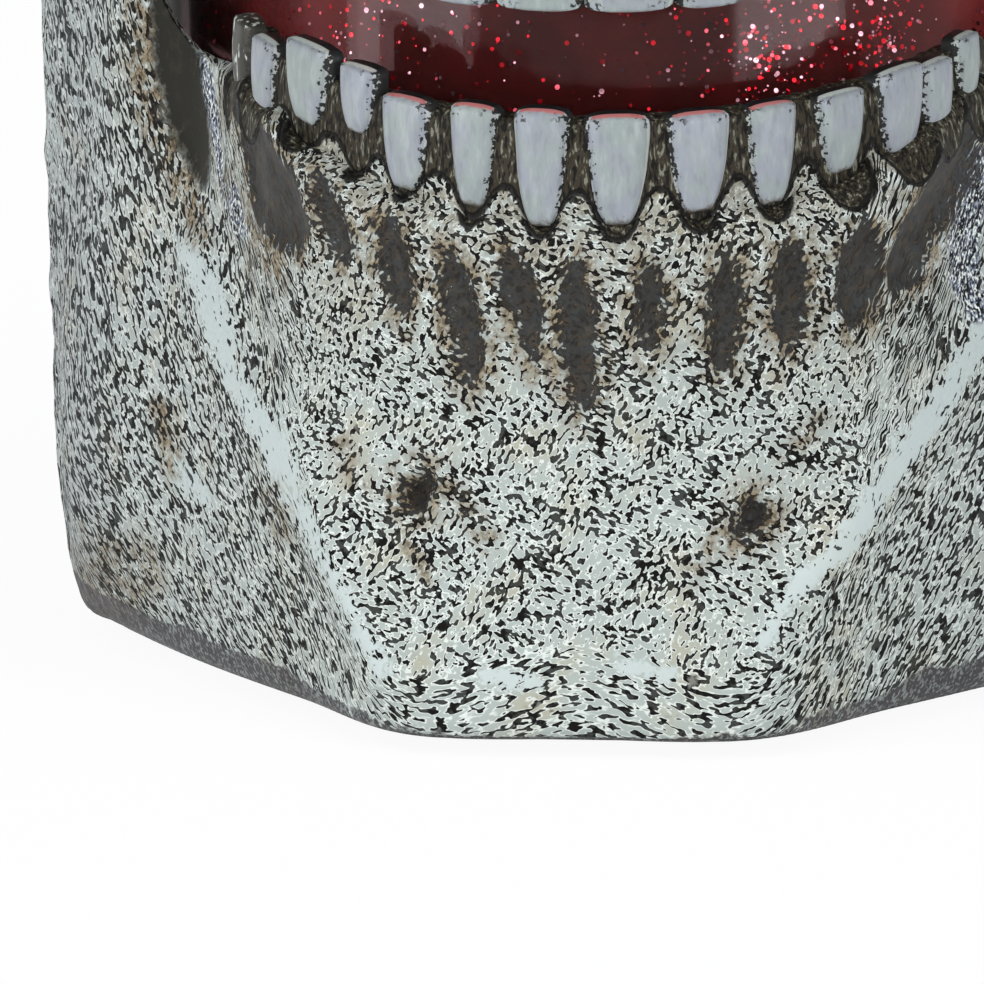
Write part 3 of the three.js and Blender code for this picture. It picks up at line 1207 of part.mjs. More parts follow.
for (let i = 0; i < cell.count; i++) addPiece(`battery_${i + 1}`, batteryCell(i), finish.cell);
addPiece('contact_left', contactPlate(-1), finish.steel);
addPiece('contact_right', contactPlate(1), finish.steel);
addPiece('switch_body', switchBody(), finish.plastic);
addPiece('switch_knob', switchKnob(), finish.plastic, -sliding.travel / 2, 0, sliding.centreZ);
Object.entries(wireRoutes).forEach(([name, points]) => addPiece(name, wireSolid(points), finish.wire));
onBothSides(shellPosts).forEach(({ x, z }, i) =>
  addPiece(`shell_screw_${i + 1}`, shellScrew(seatY), finish.steel, x, 0, z));
onBothSides(jawBosses).forEach(({ x, y }, i) =>
  addPiece(`jaw_screw_${i + 1}`, plateScrew(), finish.steel, x, y));
onBothSides(housingBosses).forEach(({ x, y }, i) =>
  addPiece(`housing_screw_${i + 1}`, plateScrew(), finish.steel, x, y));

const footPlaces = [jawPoint(1, jawFootShares), drumPlace(drum.footReach, rearFootTurn)];
onBothSides(footPlaces).forEach(({ x, y }, i) =>
  addPiece(`foot_${i + 1}`, disc(foot.radius, 0, foot.height, 0, 0, rounds.small), finish.rubber, x, y));

export default skull;
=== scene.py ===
import math

import bpy
import numpy as np
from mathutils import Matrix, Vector
from mathutils.kdtree import KDTree


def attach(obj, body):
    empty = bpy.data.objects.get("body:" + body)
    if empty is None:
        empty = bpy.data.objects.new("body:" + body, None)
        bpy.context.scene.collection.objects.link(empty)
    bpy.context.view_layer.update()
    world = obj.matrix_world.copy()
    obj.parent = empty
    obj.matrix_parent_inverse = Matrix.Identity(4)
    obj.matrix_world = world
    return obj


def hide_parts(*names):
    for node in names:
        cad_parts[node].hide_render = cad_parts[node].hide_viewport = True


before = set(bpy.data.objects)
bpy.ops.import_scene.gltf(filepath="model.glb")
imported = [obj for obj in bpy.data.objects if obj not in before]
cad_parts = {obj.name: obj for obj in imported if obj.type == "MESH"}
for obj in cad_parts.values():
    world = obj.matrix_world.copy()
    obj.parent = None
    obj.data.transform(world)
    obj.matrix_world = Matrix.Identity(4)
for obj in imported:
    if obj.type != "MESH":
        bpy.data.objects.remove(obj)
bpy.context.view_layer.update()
mm = 0.001
print("frame loaded:", len(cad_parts), "nodes")


# Shader nodes, written as sums

def shaderSum(operation, isReflected=False):
    def method(wire, other):
        first, second = (other, wire) if isReflected else (wire, other)
        return wire.finish.node("ShaderNodeMath", {"operation": operation}, {0: first, 1: second})
    return method


class Wire:
    # a node's socket, which sums are written with
    def __init__(self, finish, socket):
        self.finish = finish
        self.socket = socket

    __add__, __radd__ = shaderSum("ADD"), shaderSum("ADD", True)
    __sub__, __rsub__ = shaderSum("SUBTRACT"), shaderSum("SUBTRACT", True)
    __mul__, __rmul__ = shaderSum("MULTIPLY"), shaderSum("MULTIPLY", True)
    __truediv__, __rtruediv__ = shaderSum("DIVIDE"), shaderSum("DIVIDE", True)
    __pow__ = shaderSum("POWER")


class Finish:
    # the nodes of a material, or of the world
    def __init__(self, name, world=None):
        self.material = world or bpy.data.materials.new(name)
        self.material.use_nodes = True
        self.tree = self.material.node_tree
        self.tree.nodes.clear()

    def node(self, kind, settings=None, sockets=None, output=0):
        made = self.tree.nodes.new(kind)
        for name, value in (settings or {}).items():
            setattr(made, name, value)
        for place, value in (sockets or {}).items():
            socket = made.inputs[place]
            if isinstance(value, Wire):
                self.tree.links.new(value.socket, socket)
            elif socket.type == "RGBA" and len(value) == 3:
                socket.default_value = (*value, 1)
            else:
                socket.default_value = value
        return Wire(self, made.outputs[output]) if made.outputs else None

    def place(self):
        return self.node("ShaderNodeTexCoord", output=3)

    def attribute(self, name, isVector=False):
        return self.node("ShaderNodeAttribute", {"attribute_name": name}, output=1 if isVector else 2)

    def parts(self, vector):
        split = self.node("ShaderNodeSeparateXYZ", sockets={0: vector})
        return [Wire(self, socket) for socket in split.socket.node.outputs]

    def stretched(self, vector, shares):
        return self.node("ShaderNodeVectorMath", {"operation": "MULTIPLY"}, {0: vector, 1: shares})

    def shifted(self, vector, other):
        return self.node("ShaderNodeVectorMath", {"operation": "ADD"}, {0: vector, 1: other})

    def grain(self, vector, size, detail=2.0, roughness=0.5, distortion=0.0):
        return self.node("ShaderNodeTexNoise", sockets={
            "Vector": vector, "Scale": 1 / size, "Detail": detail, "Roughness": roughness,
            "Distortion": distortion})

    def ease(self, value, low, high):
        return self.node("ShaderNodeMapRange", {"interpolation_type": "SMOOTHSTEP"},
                         {0: value, 1: low, 2: high, 3: 0.0, 4: 1.0})

    def blend(self, share, first, second):
        return self.node("ShaderNodeMix", {"data_type": "RGBA"}, {0: share, 6: first, 7: second}, 2)

    def coats(self, colour, look, layers):
        # each layer's share of its colour from the look goes over what is there
        for share, name in layers:
            colour = self.blend(share, colour, look[name])
        return colour

    def most(self, first, second):
        return self.node("ShaderNodeMath", {"operation": "MAXIMUM"}, {0: first, 1: second})

    def size(self, value):
        return self.node("ShaderNodeMath", {"operation": "ABSOLUTE"}, {0: value})

    def ray(self, kind):
        return Wire(self, self.node("ShaderNodeLightPath").socket.node.outputs[f"Is {kind} Ray"])

    def bump(self, height, depth, strength=1.0):
        return self.node("ShaderNodeBump", sockets={
            "Strength": strength, "Distance": depth * mm, "Height": height})

    def surface(self, sockets):
        shader = self.node("ShaderNodeBsdfPrincipled", sockets=sockets)
        self.node("ShaderNodeOutputMaterial", sockets={"Surface": shader})
        return self.material


# Mesh helpers: arrays of places are in millimetres

def deselectAll():
    for piece in bpy.context.selected_objects:
        piece.select_set(False)


def pick(piece):
    deselectAll()
    piece.select_set(True)
    bpy.context.view_layer.objects.active = piece


def placesOf(piece):
    places = np.zeros(len(piece.data.vertices) * 3)
    piece.data.vertices.foreach_get("co", places)
    return places.reshape(-1, 3) / mm


def setPlaces(piece, places):
    piece.data.vertices.foreach_set("co", (places * mm).ravel())
    piece.data.update()


def normalsOf(piece):
    normals = np.zeros(len(piece.data.vertices) * 3, np.float32)
    piece.data.vertex_normals.foreach_get("vector", normals)
    return normals.reshape(-1, 3).astype(float)


def edgesOf(piece):
    edges = np.zeros(len(piece.data.edges) * 2, np.int32)
    piece.data.edges.foreach_get("vertices", edges)
    return edges.reshape(-1, 2)


def relaxed(places, edges, rounds, share=0.5):
    places = places.copy()
    count = np.bincount(edges.ravel(), minlength=len(places)).clip(1)[:, None]
    for _ in range(rounds):
        total = np.zeros_like(places)
        for axis in range(places.shape[1]):
            total[:, axis] = (np.bincount(edges[:, 0], places[edges[:, 1], axis], len(places))
                              + np.bincount(edges[:, 1], places[edges[:, 0], axis], len(places)))
        places += (total / count - places) * share
    return places


def hollowness(piece, rounds, depth):
    # above 0 in a hollow, below 0 on a crest
    places = placesOf(piece)
    moved = relaxed(places, edgesOf(piece), rounds) - places
    return np.clip((moved * normalsOf(piece)).sum(1) / depth, -1, 1)


def addMark(piece, name, values):
    isVector = np.ndim(values) == 2
    mark = piece.data.attributes.new(name, "FLOAT_VECTOR" if isVector else "FLOAT", "POINT")
    mark.data.foreach_set("vector" if isVector else "value", np.asarray(values, np.float32).ravel())


def addMarks(piece, marks):
    # a single number stands for the whole piece
    count = len(piece.data.vertices)
    for name, values in marks.items():
        addMark(piece, name, values if np.ndim(values) else np.full(count, values))


def meshPiece(name, places, faces):
    mesh = bpy.data.meshes.new(name)
    mesh.from_pydata((np.asarray(places) * mm).tolist(), [], faces)
    piece = bpy.data.objects.new(name, mesh)
    bpy.context.scene.collection.objects.link(piece)
    return piece


def editAll(piece, *steps):
    # each step works on all of the piece, in edit mode
    pick(piece)
    bpy.ops.object.mode_set(mode="EDIT")
    for step in steps:
        bpy.ops.mesh.select_all(action="SELECT")
        step()
    bpy.ops.object.mode_set(mode="OBJECT")


def faceOutwards():
    bpy.ops.mesh.normals_make_consistent(inside=False)


def mergeDoubles():
    bpy.ops.mesh.remove_doubles(threshold=0.00001)


def applyModifiers(piece):
    pick(piece)
    for modifier in list(piece.modifiers):
        bpy.ops.object.modifier_apply(modifier=modifier.name)


def tubeFaces(along, around, isFlipped=False):
    # squares between rings of points, and a cap at each end
    faces = []
    for start in range(0, (along - 1) * around, around):
        for j in range(around):
            k = (j + 1) % around
            square = (start + j, start + k, start + around + k, start + around + j)
            faces.append((square[0], *square[:0:-1]) if isFlipped else square)
    first, last = tuple(range(around)), tuple(range((along - 1) * around, along * around))
    return faces + ([first, last[::-1]] if isFlipped else [first[::-1], last])


def smoothShade(piece, degrees=None):
    pick(piece)
    if degrees is None:
        bpy.ops.object.shade_smooth()
    else:
        bpy.ops.object.shade_smooth_by_angle(angle=math.radians(degrees))


def settle(piece):
    # place, turn and scale go into the mesh
    pick(piece)
    bpy.ops.object.transform_apply(location=True, rotation=True, scale=True)


def joinAll(pieces, name):
    pick(pieces[0])
    for piece in pieces:
        piece.select_set(True)
    bpy.ops.object.join()
    pieces[0].name = name
    return pieces[0]


def finishPiece(piece, body, materials, replaced=()):
    piece.data.materials.clear()
    for material in materials:
        piece.data.materials.append(material)
    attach(piece, body)
    if replaced:
        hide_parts(*replaced)


def ease(value, low, high):
    share = np.clip((value - low) / (high - low), 0, 1)
    return share * share * (3 - 2 * share)


def cloud(places, size, seed=0):
    # smooth random values from -1 to 1
    spot = np.asarray(places) / size + seed * 7.31
    cell = np.floor(spot)
    part = spot - cell
    part = part * part * (3 - 2 * part)
    total = np.zeros(len(spot))
    for corner in range(8):
        step = np.array([corner & 1, corner >> 1 & 1, corner >> 2 & 1])
        weight = np.prod(np.where(step, part, 1 - part), axis=1)
        random = np.sin((cell + step) @ np.array([12.9898, 78.233, 37.719]) + seed) * 43758.5453
        total += weight * (random - np.floor(random))
    return total * 2 - 1


def throughPoints(points, isClosed, shares):
    # smooth curves through rows of points, all curves at once
    points = np.asarray(points, float)
    count = len(points)
    place = np.asarray(shares) * (count if isClosed else count - 1)
    first = np.minimum(np.floor(place).astype(int), count - 1 if isClosed else count - 2)
    part = (place - first)[:, None, None]
    if isClosed:
        before, start, end, after = (points[(first + step) % count] for step in (-1, 0, 1, 2))
    else:
        padded = np.concatenate([2 * points[:1] - points[1:2], points, 2 * points[-1:] - points[-2:-1]])
        before, start, end, after = (padded[first + step] for step in (0, 1, 2, 3))

    def gap(a, b):
        return np.maximum(((a - b) ** 2).sum(-1, keepdims=True) ** 0.25, 1e-6)
    gap0, gap1, gap2 = gap(before, start), gap(start, end), gap(end, after)
    slopeStart = ((start - before) / gap0 - (end - before) / (gap0 + gap1) + (end - start) / gap1) * gap1
    slopeEnd = ((end - start) / gap1 - (after - start) / (gap1 + gap2) + (after - end) / gap2) * gap1
    cubic = 2 * (start - end) + slopeStart + slopeEnd
    square = 3 * (end - start) - 2 * slopeStart - slopeEnd
    return ((cubic * part + square) * part + slopeStart) * part + start


# Tooth rows: the arches on which the crowns stand, and the line where bone meets teeth. Each tooth
# has its place along the row from -1 to 1, its width as an angle, how far its tip and its neck rise
# above the row's own lines, and how far its socket reaches under the neck

lowerRow = {
    "reachX": 39.5, "reachY": 47, "frontY": -95.5, "gum": 52.6, "tip": 64.8,
    "gumRise": 8, "tipRise": 4.5, "endShare": 0.83, "root": 5.5,
    "teeth": [(-0.785, 0.17, 0.9, 1.0, 1.0), (-0.675, 0.165, 0.5, 0.9, 0.2), (-0.535, 0.215, 2.2, 3.8, 1.2),
              (-0.41, 0.137, 1.7, 5.4, 3.8), (-0.312, 0.157, -0.2, 1.3, 0.3), (-0.186, 0.135, 0.2, 1.3, 1.2),
              (-0.07, 0.147, 0.3, 0.1, 0.2), (0.056, 0.17, -0.1, 0.4, 0.7), (0.189, 0.169, -0.3, 1.0, 1.2),
              (0.313, 0.149, -0.4, 0.3, 0.5), (0.44, 0.17, -0.7, 1.4, 2.4), (0.567, 0.198, 0.0, 0.7, 1.5),
              (0.657, 0.158, -0.6, 0.3, 0.3), (0.75, 0.13, 0.7, 2.4, 2.0)],
}
upperRow = {
    "reachX": 38.6, "reachY": 46, "frontY": -95.5, "gum": 88.4, "tip": 75,
    "gumRise": 3, "tipRise": 3, "endShare": 0.9, "root": 6,
    "teeth": [(side * share, width, 0.5, 1.4, 2.1) for side in (-1, 1) for share, width in (
        (0.076, 0.238), (0.213, 0.186), (0.34, 0.197), (0.461, 0.187), (0.576, 0.181),
        (0.694, 0.212), (0.82, 0.2))],
}


def rowShare(row, x, y):
    centreY = row["frontY"] + row["reachY"]
    return np.arctan2(x / row["reachX"], (centreY - y) / row["reachY"]) / (math.pi / 2)


def rowRise(row, y, share):
    back = np.minimum((y - row["frontY"]) / row["reachY"], 1)
    return (row["gumRise"] + (row["tipRise"] - row["gumRise"]) * share) * (1 - (1 - back) ** 2)


def underTeeth(row, share, spread=0.4):
    # 1 on the middle line of each tooth, 0 between teeth
    cup = np.zeros_like(share)
    for place, width, *heights in row["teeth"]:
        reach = width * (2 / math.pi) * spread
        cup = np.maximum(cup, np.exp(-((share - place) / reach) ** 4))
    return cup


socketForm = {"side": 0.3, "outline": [
    (0, 0.0), (0.03, 0.26), (0.09, 0.46), (0.18, 0.63), (0.32, 0.8), (0.5, 0.92), (0.75, 1.0), (1, 1.0)]}


def socketGap(row, places):
    # the gap to the nearest tooth's socket, a rounded shield a little larger than the crown, below 0 inside
    x, y, z = places.T
    way = 1 if row["tip"] > row["gum"] else -1
    span = abs(row["tip"] - row["gum"])
    share = rowShare(row, x, y)
    up = way * (z - row["gum"])
    up -= way * rowRise(row, y, np.clip(up / span, 0, 1))
    nearest = np.full(len(x), 9.0)
    close = np.flatnonzero((up > -8) & (up < span + 3))
    for place, width, tipUp, neckUp, under in row["teeth"]:
        side = np.abs(share[close] - place) * math.pi / 2 * row["reachX"]
        half = width * row["reachX"] / 2 + socketForm["side"]
        foot, tall = neckUp - under, span + tipUp - neckUp + under
        shield = [(wide * half, foot + high * tall, 0) for high, wide in socketForm["outline"]]
        gap = bandGap(side, up[close], [shield])
        reach = np.interp((up[close] - foot) / tall, *zip(*socketForm["outline"])) * half
        isIn = (side < reach) & (up[close] > foot)
        nearest[close] = np.minimum(nearest[close], np.where(isIn, -gap, gap))
    return nearest


# Bone: pale and satin, dark worm-like pores, brown stains in its hollows. Pale halos beside the pores and
# the silver bands are painted highlight, and the dark rim at the bottom is painted shade. The marks named
# groove, socket, plain, silver and olive hold the gap to the nearest such band in millimetres, below 0
# inside.

# crest and silver are colours of painted highlight here, and rim is a colour of painted shade
boneLook = {
    "pale": (0.46, 0.515, 0.49), "cream": (0.48, 0.475, 0.38), "cool": (0.37, 0.39, 0.415),
    "crest": (0.90, 0.95, 0.90), "plain": (0.62, 0.70, 0.685), "pore": (0.006, 0.0055, 0.005),
    "groove": (0.033, 0.033, 0.034), "stain": (0.26, 0.175, 0.072), "umber": (0.07, 0.05, 0.03),
    "rim": (0.045, 0.038, 0.045), "olive": (0.02, 0.019, 0.014), "silver": (0.21, 0.245, 0.345),
    "hair": (0.046, 0.038, 0.025), "hairDark": (0.009, 0.008, 0.007), "hairPale": (0.27, 0.27, 0.215),
    "poreSize": 0.45, "poreStreak": 1.7, "slant": (58, -24), "dashSize": 0.54, "streak": 2.5,
    "grooveFray": 4.6, "poreDepth": 0.26, "roughness": 0.5,
}


def boneFinish(name, suture=False):
    look = boneLook
    f = Finish(name)
    place = f.place()
    stain, rim, cool, crowd = (f.attribute(key) for key in ("stain", "rim", "cool", "crowd"))
    speck = f.grain(place, 0.45 * mm, 1, 0.5)
    ragged = f.grain(place, 1.3 * mm, 2, 0.6)
    patch = f.grain(place, 7 * mm, 3, 0.6)
    sparse = f.grain(place, 3.4 * mm, 1, 0.5)
    edge = (ragged - 0.5) * 2.4 + (speck - 0.5) * 1.2

    def inside(key, wander, soft):
        return 1 - f.ease(f.attribute(key) + edge * wander, -soft, soft)
    socket = inside("socket", 0.22, 0.12)
    outline = 1 - f.ease(f.size(f.attribute("socket") + edge * 0.2), 0.2, 0.38)
    plain = inside("plain", 1.3, 0.3)
    # silver: painted highlight, bluish with bright and dark speckles
    silver = inside("silver", 0.7, 0.4)
    olive = inside("olive", 0.6, 0.5)

    flow = f.attribute("flow", True)
    flowing = f.ease(f.attribute("flowing") + (ragged - 0.5) * 0.9, 0.4, 0.6)

    def slanted(degrees):
        tilted = f.node("ShaderNodeVectorRotate", {"rotation_type": "Y_AXIS"},
                         {"Vector": place, "Angle": math.radians(degrees)})
        longer = f.stretched(tilted, (1 / look["poreStreak"], 1, 1))
        return f.grain(longer, look["poreSize"] * mm, 0.9, 0.45, 0.3)
    side = f.ease(patch + (sparse - 0.5) * 0.6, 0.46, 0.52)
    scattered = slanted(look["slant"][0]) * side + slanted(look["slant"][1]) * (1 - side)
    combed = f.grain(f.stretched(flow, (1 / look["streak"], 1, 1)), look["dashSize"], 1.1, 0.45, 0.35)
    worm = scattered * (1 - flowing) + combed * flowing
    toGroove = f.attribute("groove") - 0.25 + (0.5 - worm) * look["grooveFray"] + edge * 0.3
    groove = 1 - f.ease(toGroove, -0.15, 0.15)
    nearGroove = 1 - f.ease(toGroove, 0.0, 3.2)
    # grooveLine: painted shade, a dark line along the edges of each groove
    grooveLine = (1 - f.ease(f.size(toGroove), 0.12, 0.3)) * f.ease(ragged, 0.44, 0.54)
    limit = 0.608 - crowd * 0.10 + plain * 0.16 + (sparse - 0.5) * 0.26 - flowing * 0.02
    # rim: painted shade low on the jaw where the underside turns in; under: a black line of painted shadow
    # along the floor
    rimShade = f.ease(rim + (ragged - 0.5) * 1.3 + (patch - 0.5) * 1.4, 0.38, 0.62)
    under = f.ease(rim, 1.25, 1.6)
    bare = (1 - groove) * (1 - rimShade * 0.75) * (1 - socket) * (1 - olive)
    pore = f.ease(worm, limit, limit + 0.034) * bare
    # crest: painted highlight, a pale halo beside each pore where its lit edge would be
    crest = f.ease(worm, limit - 0.10, limit - 0.02) * (1 - pore) * bare * (1 - plain)

    # the surface with its painted highlight beside the pores, then stains, the silver bands of painted
    # highlight and pores, and last the grooves, the rim of painted shade and sockets
    stained = f.most(stain, nearGroove * 0.95) * f.ease(f.grain(place, 1.7 * mm, 3, 0.65), 0.34, 0.6)
    soot = 0.9 + 0.1 * f.ease(ragged, 0.42, 0.56) - cool * 0.06
    # speckled gaps in the painted shade of the rim
    rimSpeckle = f.ease(speck + ragged * 0.6, 0.78, 0.95)
    bristle = f.grain(f.stretched(place, (1, 1, 0.3)), 0.45 * mm, 2, 0.6, 0.3)
    hollow = f.blend(f.ease(ragged, 0.52, 0.7) * 0.5, look["olive"], look["hair"])
    depth = f.coats(look["groove"], look, [
        (f.ease(ragged + speck * 0.6, 0.78, 0.96) * 0.6, "umber"), (f.ease(worm, 0.53, 0.6) * 0.6, "pore")])
    hair = f.coats(look["hair"], look, [
        (f.ease(bristle, 0.58, 0.66) * 0.8, "hairPale"), (f.ease(1 - bristle, 0.50, 0.58), "hairDark")])
    colour = f.coats(look["pale"], look, [
        (f.ease(patch, 0.48, 0.72), "cream"), (crest * 0.8, "crest"), (plain * 0.9, "plain"),
        (cool * (0.3 + 0.5 * f.ease(speck, 0.4, 0.6)), "cool"), (stained * 0.85, "stain"),
        (stained * f.ease(speck, 0.46, 0.57) * 0.8, "umber"),
        (silver * (0.55 + 0.45 * f.ease(speck, 0.42, 0.56)), "silver"), (pore * soot, "pore"),
        (silver * f.ease(speck, 0.55, 0.6), "pore"), (silver * f.ease(1 - speck, 0.56, 0.62), "crest")])
    colour = f.blend(groove * 0.96, f.blend(olive, colour, hollow), depth)
    colour = f.coats(colour, look, [
        (grooveLine * 0.85, "pore"), (rimShade * (0.95 - rimSpeckle * 0.45), "rim"), (under, "pore")])
    colour = f.coats(f.blend(socket, colour, hair), look, [(outline * 0.95, "pore")])
    height = speck * 0.10 + patch * 0.25 - pore - outline * 0.6
    if suture:
        line = f.attribute("suture")
        wander = f.grain(place, 3.4 * mm, 3, 0.65)
        crack = 1 - f.ease(f.size(line + (wander - 0.5) * 9), 0.12, 0.5)
        colour = f.blend(crack * 0.85, colour, look["groove"])
        height = height - crack * 1.4
    return f.surface({
        "Base Color": colour, "Roughness": look["roughness"] + pore * 0.3 - plain * 0.1,
        "Specular IOR Level": 0.14, "Normal": f.bump(height, look["poreDepth"], 0.8)})


# Lower jaw: eight lines run from ramus to ramus, and the skin is stretched over them

jaw = {
    "halfWidth": 62, "depth": 100, "height": 100, "frontY": -99, "floor": 1.5,
    "stations": [  # bottom outer, side outer, ridge, front, outer gum, inner gum, inner middle, bottom inner
        [[0, 0.012, 0.015], [0, 0.002, 0.05], [0, 0, 0.09], [0, 0.03, 0.3],
         [0, 0.034, 0.54], [0, 0.13, 0.54], [0, 0.12, 0.3], [0, 0.11, 0.015]],
        [[0.274, 0.022, 0.015], [0.282, 0.016, 0.035], [0.29, 0.02, 0.06], [0.306, 0.075, 0.3],
         [0.29, 0.074, 0.545], [0.225, 0.15, 0.545], [0.21, 0.15, 0.3], [0.19, 0.12, 0.015]],
        [[0.484, 0.235, 0.015], [0.5, 0.2, 0.12], [0.476, 0.14, 0.27], [0.484, 0.16, 0.38],
         [0.48, 0.165, 0.58], [0.375, 0.23, 0.58], [0.37, 0.25, 0.3], [0.37, 0.26, 0.015]],
        [[0.694, 0.47, 0.015], [0.726, 0.42, 0.2], [0.613, 0.33, 0.45], [0.605, 0.315, 0.52],
         [0.605, 0.315, 0.64], [0.5, 0.35, 0.64], [0.54, 0.42, 0.3], [0.58, 0.47, 0.015]],
        [[0.85, 0.685, 0.015], [0.93, 0.64, 0.2], [0.71, 0.49, 0.58], [0.67, 0.46, 0.6],
         [0.655, 0.45, 0.628], [0.565, 0.46, 0.61], [0.74, 0.6, 0.3], [0.758, 0.68, 0.015]],
        [[0.92, 0.8, 0.018], [0.955, 0.74, 0.37], [0.8, 0.54, 0.72], [0.77, 0.53, 0.72],
         [0.75, 0.54, 0.69], [0.755, 0.57, 0.63], [0.823, 0.7, 0.38], [0.83, 0.77, 0.06]],
        [[0.968, 0.86, 0.58], [0.992, 0.76, 0.66], [0.855, 0.6, 0.92], [0.823, 0.59, 0.9],
         [0.806, 0.62, 0.88], [0.815, 0.66, 0.8], [0.887, 0.74, 0.64], [0.903, 0.84, 0.58]],
        [[0.984, 0.92, 1.03], [1, 0.78, 0.98], [0.92, 0.63, 1.08], [0.9, 0.625, 1.06],
         [0.88, 0.64, 1.04], [0.88, 0.7, 0.98], [0.91, 0.79, 0.96], [0.93, 0.91, 1.02]],
    ],
    "along": 460, "around": 168, "voxel": 0.73,
    "grooveDepth": 1.15, "oliveDepth": 0.5, "socketDepth": 0.9, "rimHeight": 3.4, "rimRise": 2.0,
    "stainSpot": (-47, 16),
    "condyle": ((0.968, 0.9, 1.1), (8, 6.5, 17)), "coronoid": ((0.935, 0.67, 1.01), (4.6, 8, 12)),
    "bosses": [(15, -78.5), (38.4, -41.5)], "bossRadius": 5, "bossLow": 4.8, "bossHigh": 16.8,
}
# Bands on its front: points across from the middle line and up from the chin's rim, as the camera
# sees them, each with the band's half width there, all in millimetres
grooveBands = [
    [(-13.3, 49, 0.5), (-12.8, 45.8, 1.7), (-11.5, 41.8, 1.6), (-10.9, 37.3, 1.1), (-10.7, 33.4, -1.2)],
    [(-7.4, 49, 0.5), (-6.5, 46.1, 1.9), (-5.2, 43.1, 1.5), (-4.8, 39.8, 0.9), (-4.6, 36.2, -1.2)],
    [(-0.5, 48.1, 0.5), (-0.3, 44.3, 1.8), (-0.2, 39.3, 1.7), (0.4, 34.8, 1.3), (0.9, 31.2, -1.0)],
    [(7, 46.8, 1.1), (7.2, 44.1, 1.5), (6.8, 41.3, 1.1), (7.1, 36.8, -1.2)],
    [(14.9, 48.6, 0.6), (14.7, 45.3, 1.8), (14.5, 41.3, 1.7), (14.2, 38.3, 1.0), (14.1, 35.2, -1.2)],
    [(21.2, 50.3, 0.6), (21.1, 46.8, 1.7), (21, 42.3, 1.6), (20.5, 37.6, -1.0)],
    [(28.8, 52.1, 0.8), (28.3, 48.8, 2.3), (27.8, 44.8, 2.2), (26.8, 40.4, -1.0)],
    [(39, 62.8, 1.5), (38, 58.3, 1.9), (36, 54.8, 1.9), (34, 51.5, 1.7), (32.5, 47.8, 1.8),
     (30.9, 43.4, -1.0)],
    [(-26.2, 56, 0.8), (-25.2, 52.8, 1.3), (-24, 49.3, 1.1), (-23, 46, -1.2)],
    [(-19.5, 51.7, 1.0), (-18.8, 48.3, 1.5), (-18, 44.3, 1.1), (-17.5, 40.4, -1.2)],
    [(-34.2, 63.5, 1.3), (-32.8, 59.3, 1.9), (-31.2, 55.3, 2.8), (-29.5, 51.3, 2.3), (-27.6, 47.2, -1.2)],
    [(-13.7, 26.7, -0.6), (-9, 20.3, -0.8)], [(-24, 30, -0.7), (-21.8, 25, -0.8)],
    [(-30.5, 24.5, -0.4), (-29.4, 21, -0.5)], [(15, 22, -0.7), (11, 17, -0.8)],
    [(24, 33, -0.8), (21, 29, -0.8)],
]
plainBands = [
    [(-38.5, 48.8, 1.1), (-36.6, 45.3, 1.5), (-35.4, 40.8, 1.3), (-33.8, 35.8, 1.0), (-31.8, 33, 1.2),
     (-29.9, 29.9, 1.4), (-28.6, 26.2, 1.3), (-27.4, 23.5, 0.9), (-25, 18.3, 0.5), (-22, 12, 0.6),
     (-19.5, 7, 0.8)],
    [(-41.5, 28.5, 0.6), (-39.8, 26, 1.0), (-38, 24, 0.8)],
    [(40.4, 42.3, 1.2), (36, 35.3, 1.3), (32.5, 30.3, 1.2), (29, 25, 1.0), (26, 20.3, 1.0),
     (21, 15.3, 0.8), (18.3, 10.3, 0.6)],
    [(-9, 6.5, 0.9), (-4, 6, 0.6)], [(4, 8, 0.7), (9, 7, 0.8)],
]
ridgeBands = [plainBands[0], plainBands[2]]
# Silver bands: painted highlight, a bluish sparkle where the edge of the ramus catches the light
silverHighlightBands = [
    [(-38.8, 68.1, 1.0), (-37.5, 64.8, 1.3), (-35.8, 60.3, 1.4), (-34.8, 55.3, 1.3), (-34, 50.8, 0.7)],
    [(40.4, 59.3, 1.2), (39.6, 55.3, 1.5), (38.6, 51.3, 1.6), (38.8, 47.3, 1.5), (39.8, 43.8, 1.2)],
]
oliveBands = [
    [(-41.5, 78, 2.0), (-41.5, 74.3, 2.0), (-40.8, 68.3, 2.3), (-40, 63.3, 2.1), (-39, 59.3, 1.6),
     (-38.2, 55.8, 0.6)],
]
ochreBands = [
    [(-44.5, 78, 1.4), (-44.2, 68.3, 1.5), (-43.4, 63.3, 1.6), (-42, 59.3, 1.5), (-40, 55.3, 1.5),
     (-37.5, 50.3, 1.0)],
    [(-34, 56, 2.5), (-30, 46, 1.0)], [(-42.5, 33, 1.0), (-41, 27, 0.8)], [(-17, 20, 0.8), (-15, 16, 0.4)],
]
pits = [(-16.6, 24.6, 1.4, 2.6), (-15.4, 25.9, 1.0, 2.0), (17.6, 23.0, 1.3, 2.4), (16, 21.8, 0.8, 1.6)]
seen = {"turn": 5, "rise": 9}   # the photograph's own angle, in degrees


def bandGap(across, up, bands):
    # the gap to the nearest band, below 0 inside it
    nearest = np.full(len(across), 9.0)
    for band in bands:
        for (x0, z0, w0), (x1, z1, w1) in zip(band[:-1], band[1:]):
            run = (x1 - x0) ** 2 + (z1 - z0) ** 2
            share = np.clip(((across - x0) * (x1 - x0) + (up - z0) * (z1 - z0)) / run, 0, 1)
            away = np.hypot(across - x0 - share * (x1 - x0), up - z0 - share * (z1 - z0))
            nearest = np.minimum(nearest, away - w0 - share * (w1 - w0))
    return nearest


def outTo(turn, rise):
    # the way out to a lamp or camera, from its turn about the object and its rise, in degrees
    turn, rise = math.radians(turn), math.radians(rise)
    return np.array([math.sin(turn) * math.cos(rise), -math.cos(turn) * math.cos(rise), math.sin(rise)])


